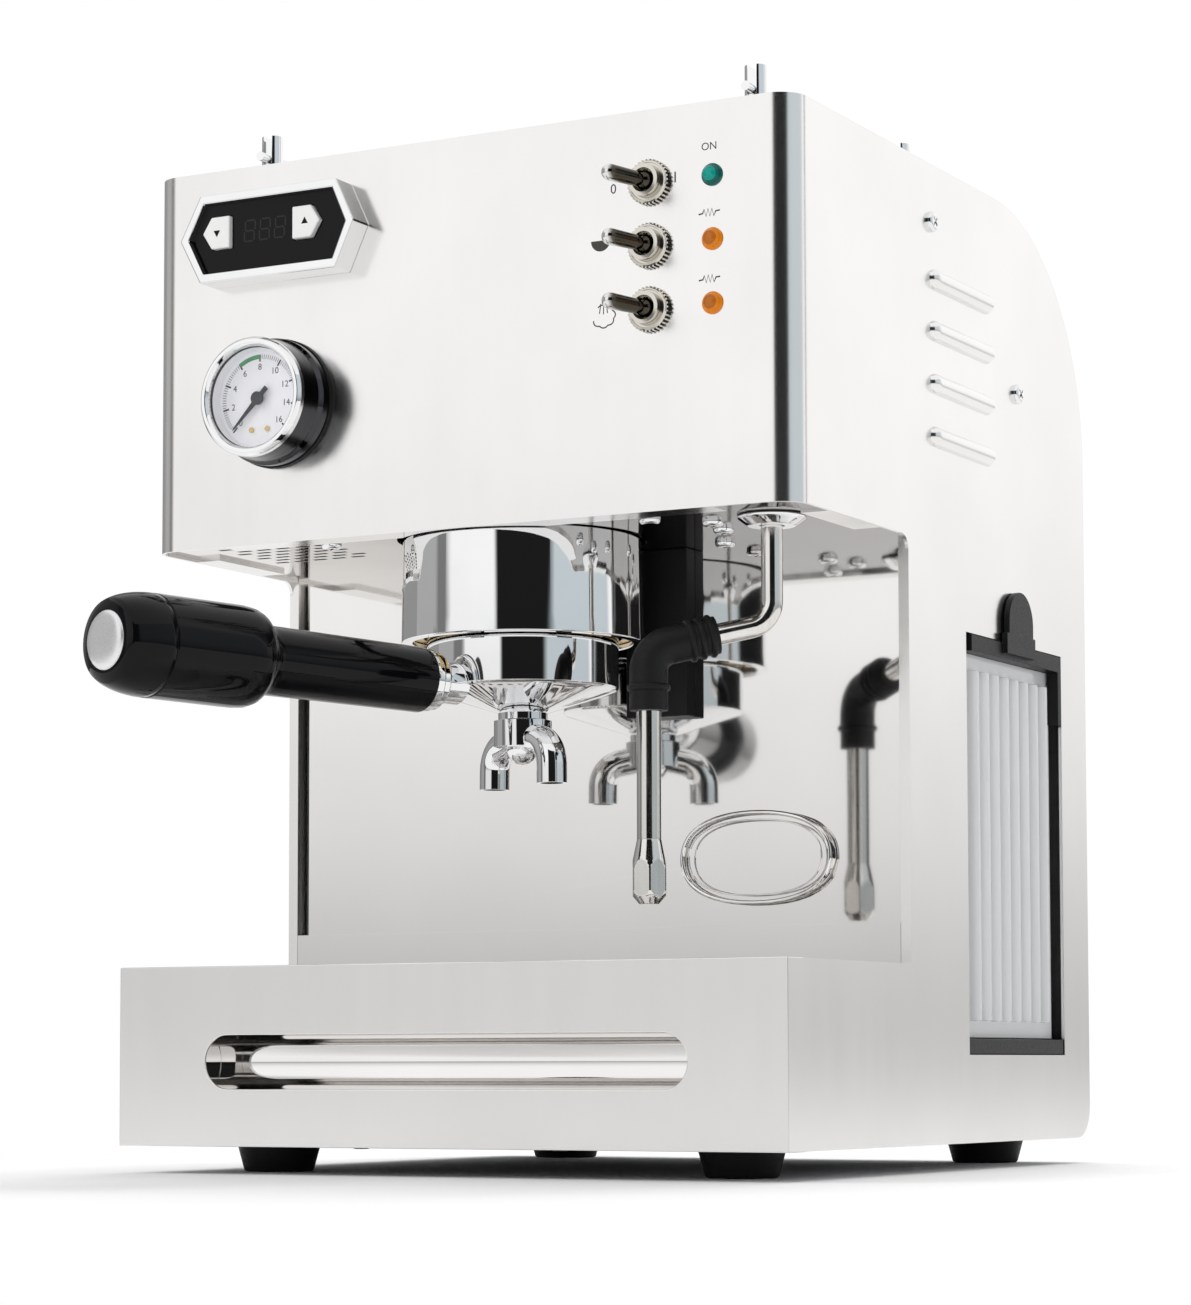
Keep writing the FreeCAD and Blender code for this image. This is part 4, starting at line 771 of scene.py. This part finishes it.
# Water tank: clear moulding fluted on its outer side, with a black lid, tab and cradle. The
# control box, valve coil and mains inlet are black mouldings too.
tank_clear = Finish("clear moulding", Base_Color=(0.95, 0.96, 0.97), Transmission_Weight=0.3, IOR=1.45)
tank_clear.set(Roughness=tank_clear.spread(tank_clear.noise(80.0), 0.03, 0.08))
refined("water_tank", tank_clear, 0.5)
for name in ("tank_lid", "tank_cradle", "control_box", "valve_coil", "cord_inlet"):
    refined(name, black_matte, 0.5)

# Pumps, steam block and water lines: black moulded pumps, a cast aluminium block and plain
# plastic tubing, all fixed inside the casing.
refined("pumps", black_matte, 0.8)
aluminium = Finish("cast aluminium", Metallic=1.0)
cast = aluminium.noise(600.0, 3.0)
aluminium.set(Base_Color=aluminium.ramp(cast, (0.3, (0.6, 0.6, 0.62)), (0.7, (0.7, 0.7, 0.72))),
              Roughness=aluminium.spread(cast, 0.35, 0.5), Normal=aluminium.bump(cast, 0.2))
refined("steam_block", aluminium, 0.8)
tubing = Finish("plastic tubing", Base_Color=(0.7, 0.7, 0.66))
tubing.set(Roughness=tubing.spread(tubing.noise(200.0), 0.3, 0.4))
refined("water_lines", tubing)

# Studio: a white floor that keeps the machine's shadow and fades to plain white, a surround
# of pale and dark cloths that only reflections and clear pieces show, and two soft lamps.
floor_finish = Finish("studio floor", Base_Color=(0.93, 0.93, 0.93), Roughness=0.95)
glow = floor_finish.node("ShaderNodeEmission", {}, {"Color": (1, 1, 1), "Strength": 1.0})
seen = floor_finish.node("ShaderNodeLightPath", {}, {}, "Is Camera Ray")
for ray in ("Is Glossy Ray", "Is Transmission Ray"):
    seen = seen.maths("MAXIMUM", seen, floor_finish.node("ShaderNodeLightPath", {}, {}, ray))
away = floor_finish.node("ShaderNodeVectorMath", {"operation": "LENGTH"},
                         {0: floor_finish.stretched(1.0, 0.72, 1.0)}, "Value")
fade = floor_finish.spread(away, 0.0, 1.0, 0.17, 0.28)
shadowed = Wire(floor_finish, floor_finish.shader.outputs[0])
blend = floor_finish.node("ShaderNodeMixShader", {}, {0: fade * seen, 1: shadowed, 2: glow})
floor_finish.feed(floor_finish.tree.nodes["Material Output"].inputs["Surface"], blend)
pick()
bpy.ops.mesh.primitive_plane_add(size=30, location=(0, 0, 0))
floor = bpy.context.object
floor.name = "studio_floor"
floor.data.materials.append(floor_finish.material)

surround_finish = Finish("surround cloths")
aim = surround_finish.node("ShaderNodeSeparateXYZ", {}, {0: surround_finish.place}, "X")
ahead = surround_finish.node("ShaderNodeSeparateXYZ", {}, {0: surround_finish.place}, "Y")
height = surround_finish.node("ShaderNodeSeparateXYZ", {}, {0: surround_finish.place}, "Z")
bearing = surround_finish.node("ShaderNodeMath", {"operation": "ARCTAN2"}, {0: ahead, 1: aim})
around = bearing * (1 / (2 * math.pi)) + 0.5


def at_bearing(degrees):
    return (degrees + 180) / 360


BLUE = (0.58, 0.64, 0.67)
CLOTHS = ((-180, 0.42), (-152, 0.42), (-149, 0.2), (-138, 0.2), (-131, 0.98), (-88, 1.0), (-85, 0.012),
          (-37, 0.012), (-31, BLUE), (24, BLUE), (27, 0.98), (38, 0.98), (39, 0.1), (43, 0.1), (44, 1.0),
          (110, 1.0), (125, 0.3), (179, 0.30))
cloths = surround_finish.ramp(around, *[(at_bearing(degrees), shade) for degrees, shade in CLOTHS])
upward = surround_finish.ramp(height * (1 / 1.2), (0.0, 0.33), (0.07, 0.5), (0.25, 0.76), (0.45, 0.92),
                              (0.65, 1.0), (1.0, 1.0))
shaded = surround_finish.node("ShaderNodeVectorMath", {"operation": "MULTIPLY"}, {0: cloths, 1: upward})
surround_finish.set(Base_Color=(0, 0, 0), Specular_IOR_Level=0.0, Emission_Color=shaded,
                    Emission_Strength=1.08)
pick()
bpy.ops.mesh.primitive_cylinder_add(vertices=96, radius=3.0, depth=2.4, end_fill_type="NOTHING",
                                    location=(0, 0, 1.2))
surround = bpy.context.object
surround.name = "studio_surround"
bpy.ops.object.transform_apply(location=True, rotation=True, scale=True)
surround.data.materials.append(surround_finish.material)
surround.visible_camera = False
surround.visible_diffuse = False
surround.visible_shadow = False

world = bpy.data.worlds.new("studio")
bpy.context.scene.world = world
world.use_nodes = True
sky = world.node_tree
rays = sky.nodes.new("ShaderNodeLightPath")
first = sky.nodes.new("ShaderNodeMath")
first.operation = "MAXIMUM"
second = sky.nodes.new("ShaderNodeMath")
second.operation = "MAXIMUM"
strength = sky.nodes.new("ShaderNodeMapRange")
strength.inputs["To Min"].default_value = 0.72
strength.inputs["To Max"].default_value = 1.0
sky.links.new(rays.outputs["Is Camera Ray"], first.inputs[0])
sky.links.new(rays.outputs["Is Glossy Ray"], first.inputs[1])
sky.links.new(first.outputs[0], second.inputs[0])
sky.links.new(rays.outputs["Is Transmission Ray"], second.inputs[1])
sky.links.new(second.outputs[0], strength.inputs["Value"])
sky.links.new(strength.outputs[0], sky.nodes["Background"].inputs["Strength"])
sky.nodes["Background"].inputs["Color"].default_value = (1, 1, 1, 1)

for name, place, target, size, power in (("left_softbox", (-1.3, -1.2, 1.5), (0, 0, 0.2), (0.7, 1.4), 12),
                                         ("top_softbox", (0.0, 0.6, 1.6), (0, 0, 0.1), (0.6, 1.2), 16)):
    light = bpy.data.lights.new(name, "AREA")
    light.shape = "RECTANGLE"
    light.size, light.size_y = size
    light.energy = power
    softbox = bpy.data.objects.new(name, light)
    softbox.visible_glossy = False
    bpy.context.scene.collection.objects.link(softbox)
    softbox.location = place
    softbox.rotation_euler = (Vector(target) - Vector(place)).to_track_quat("-Z", "Y").to_euler()
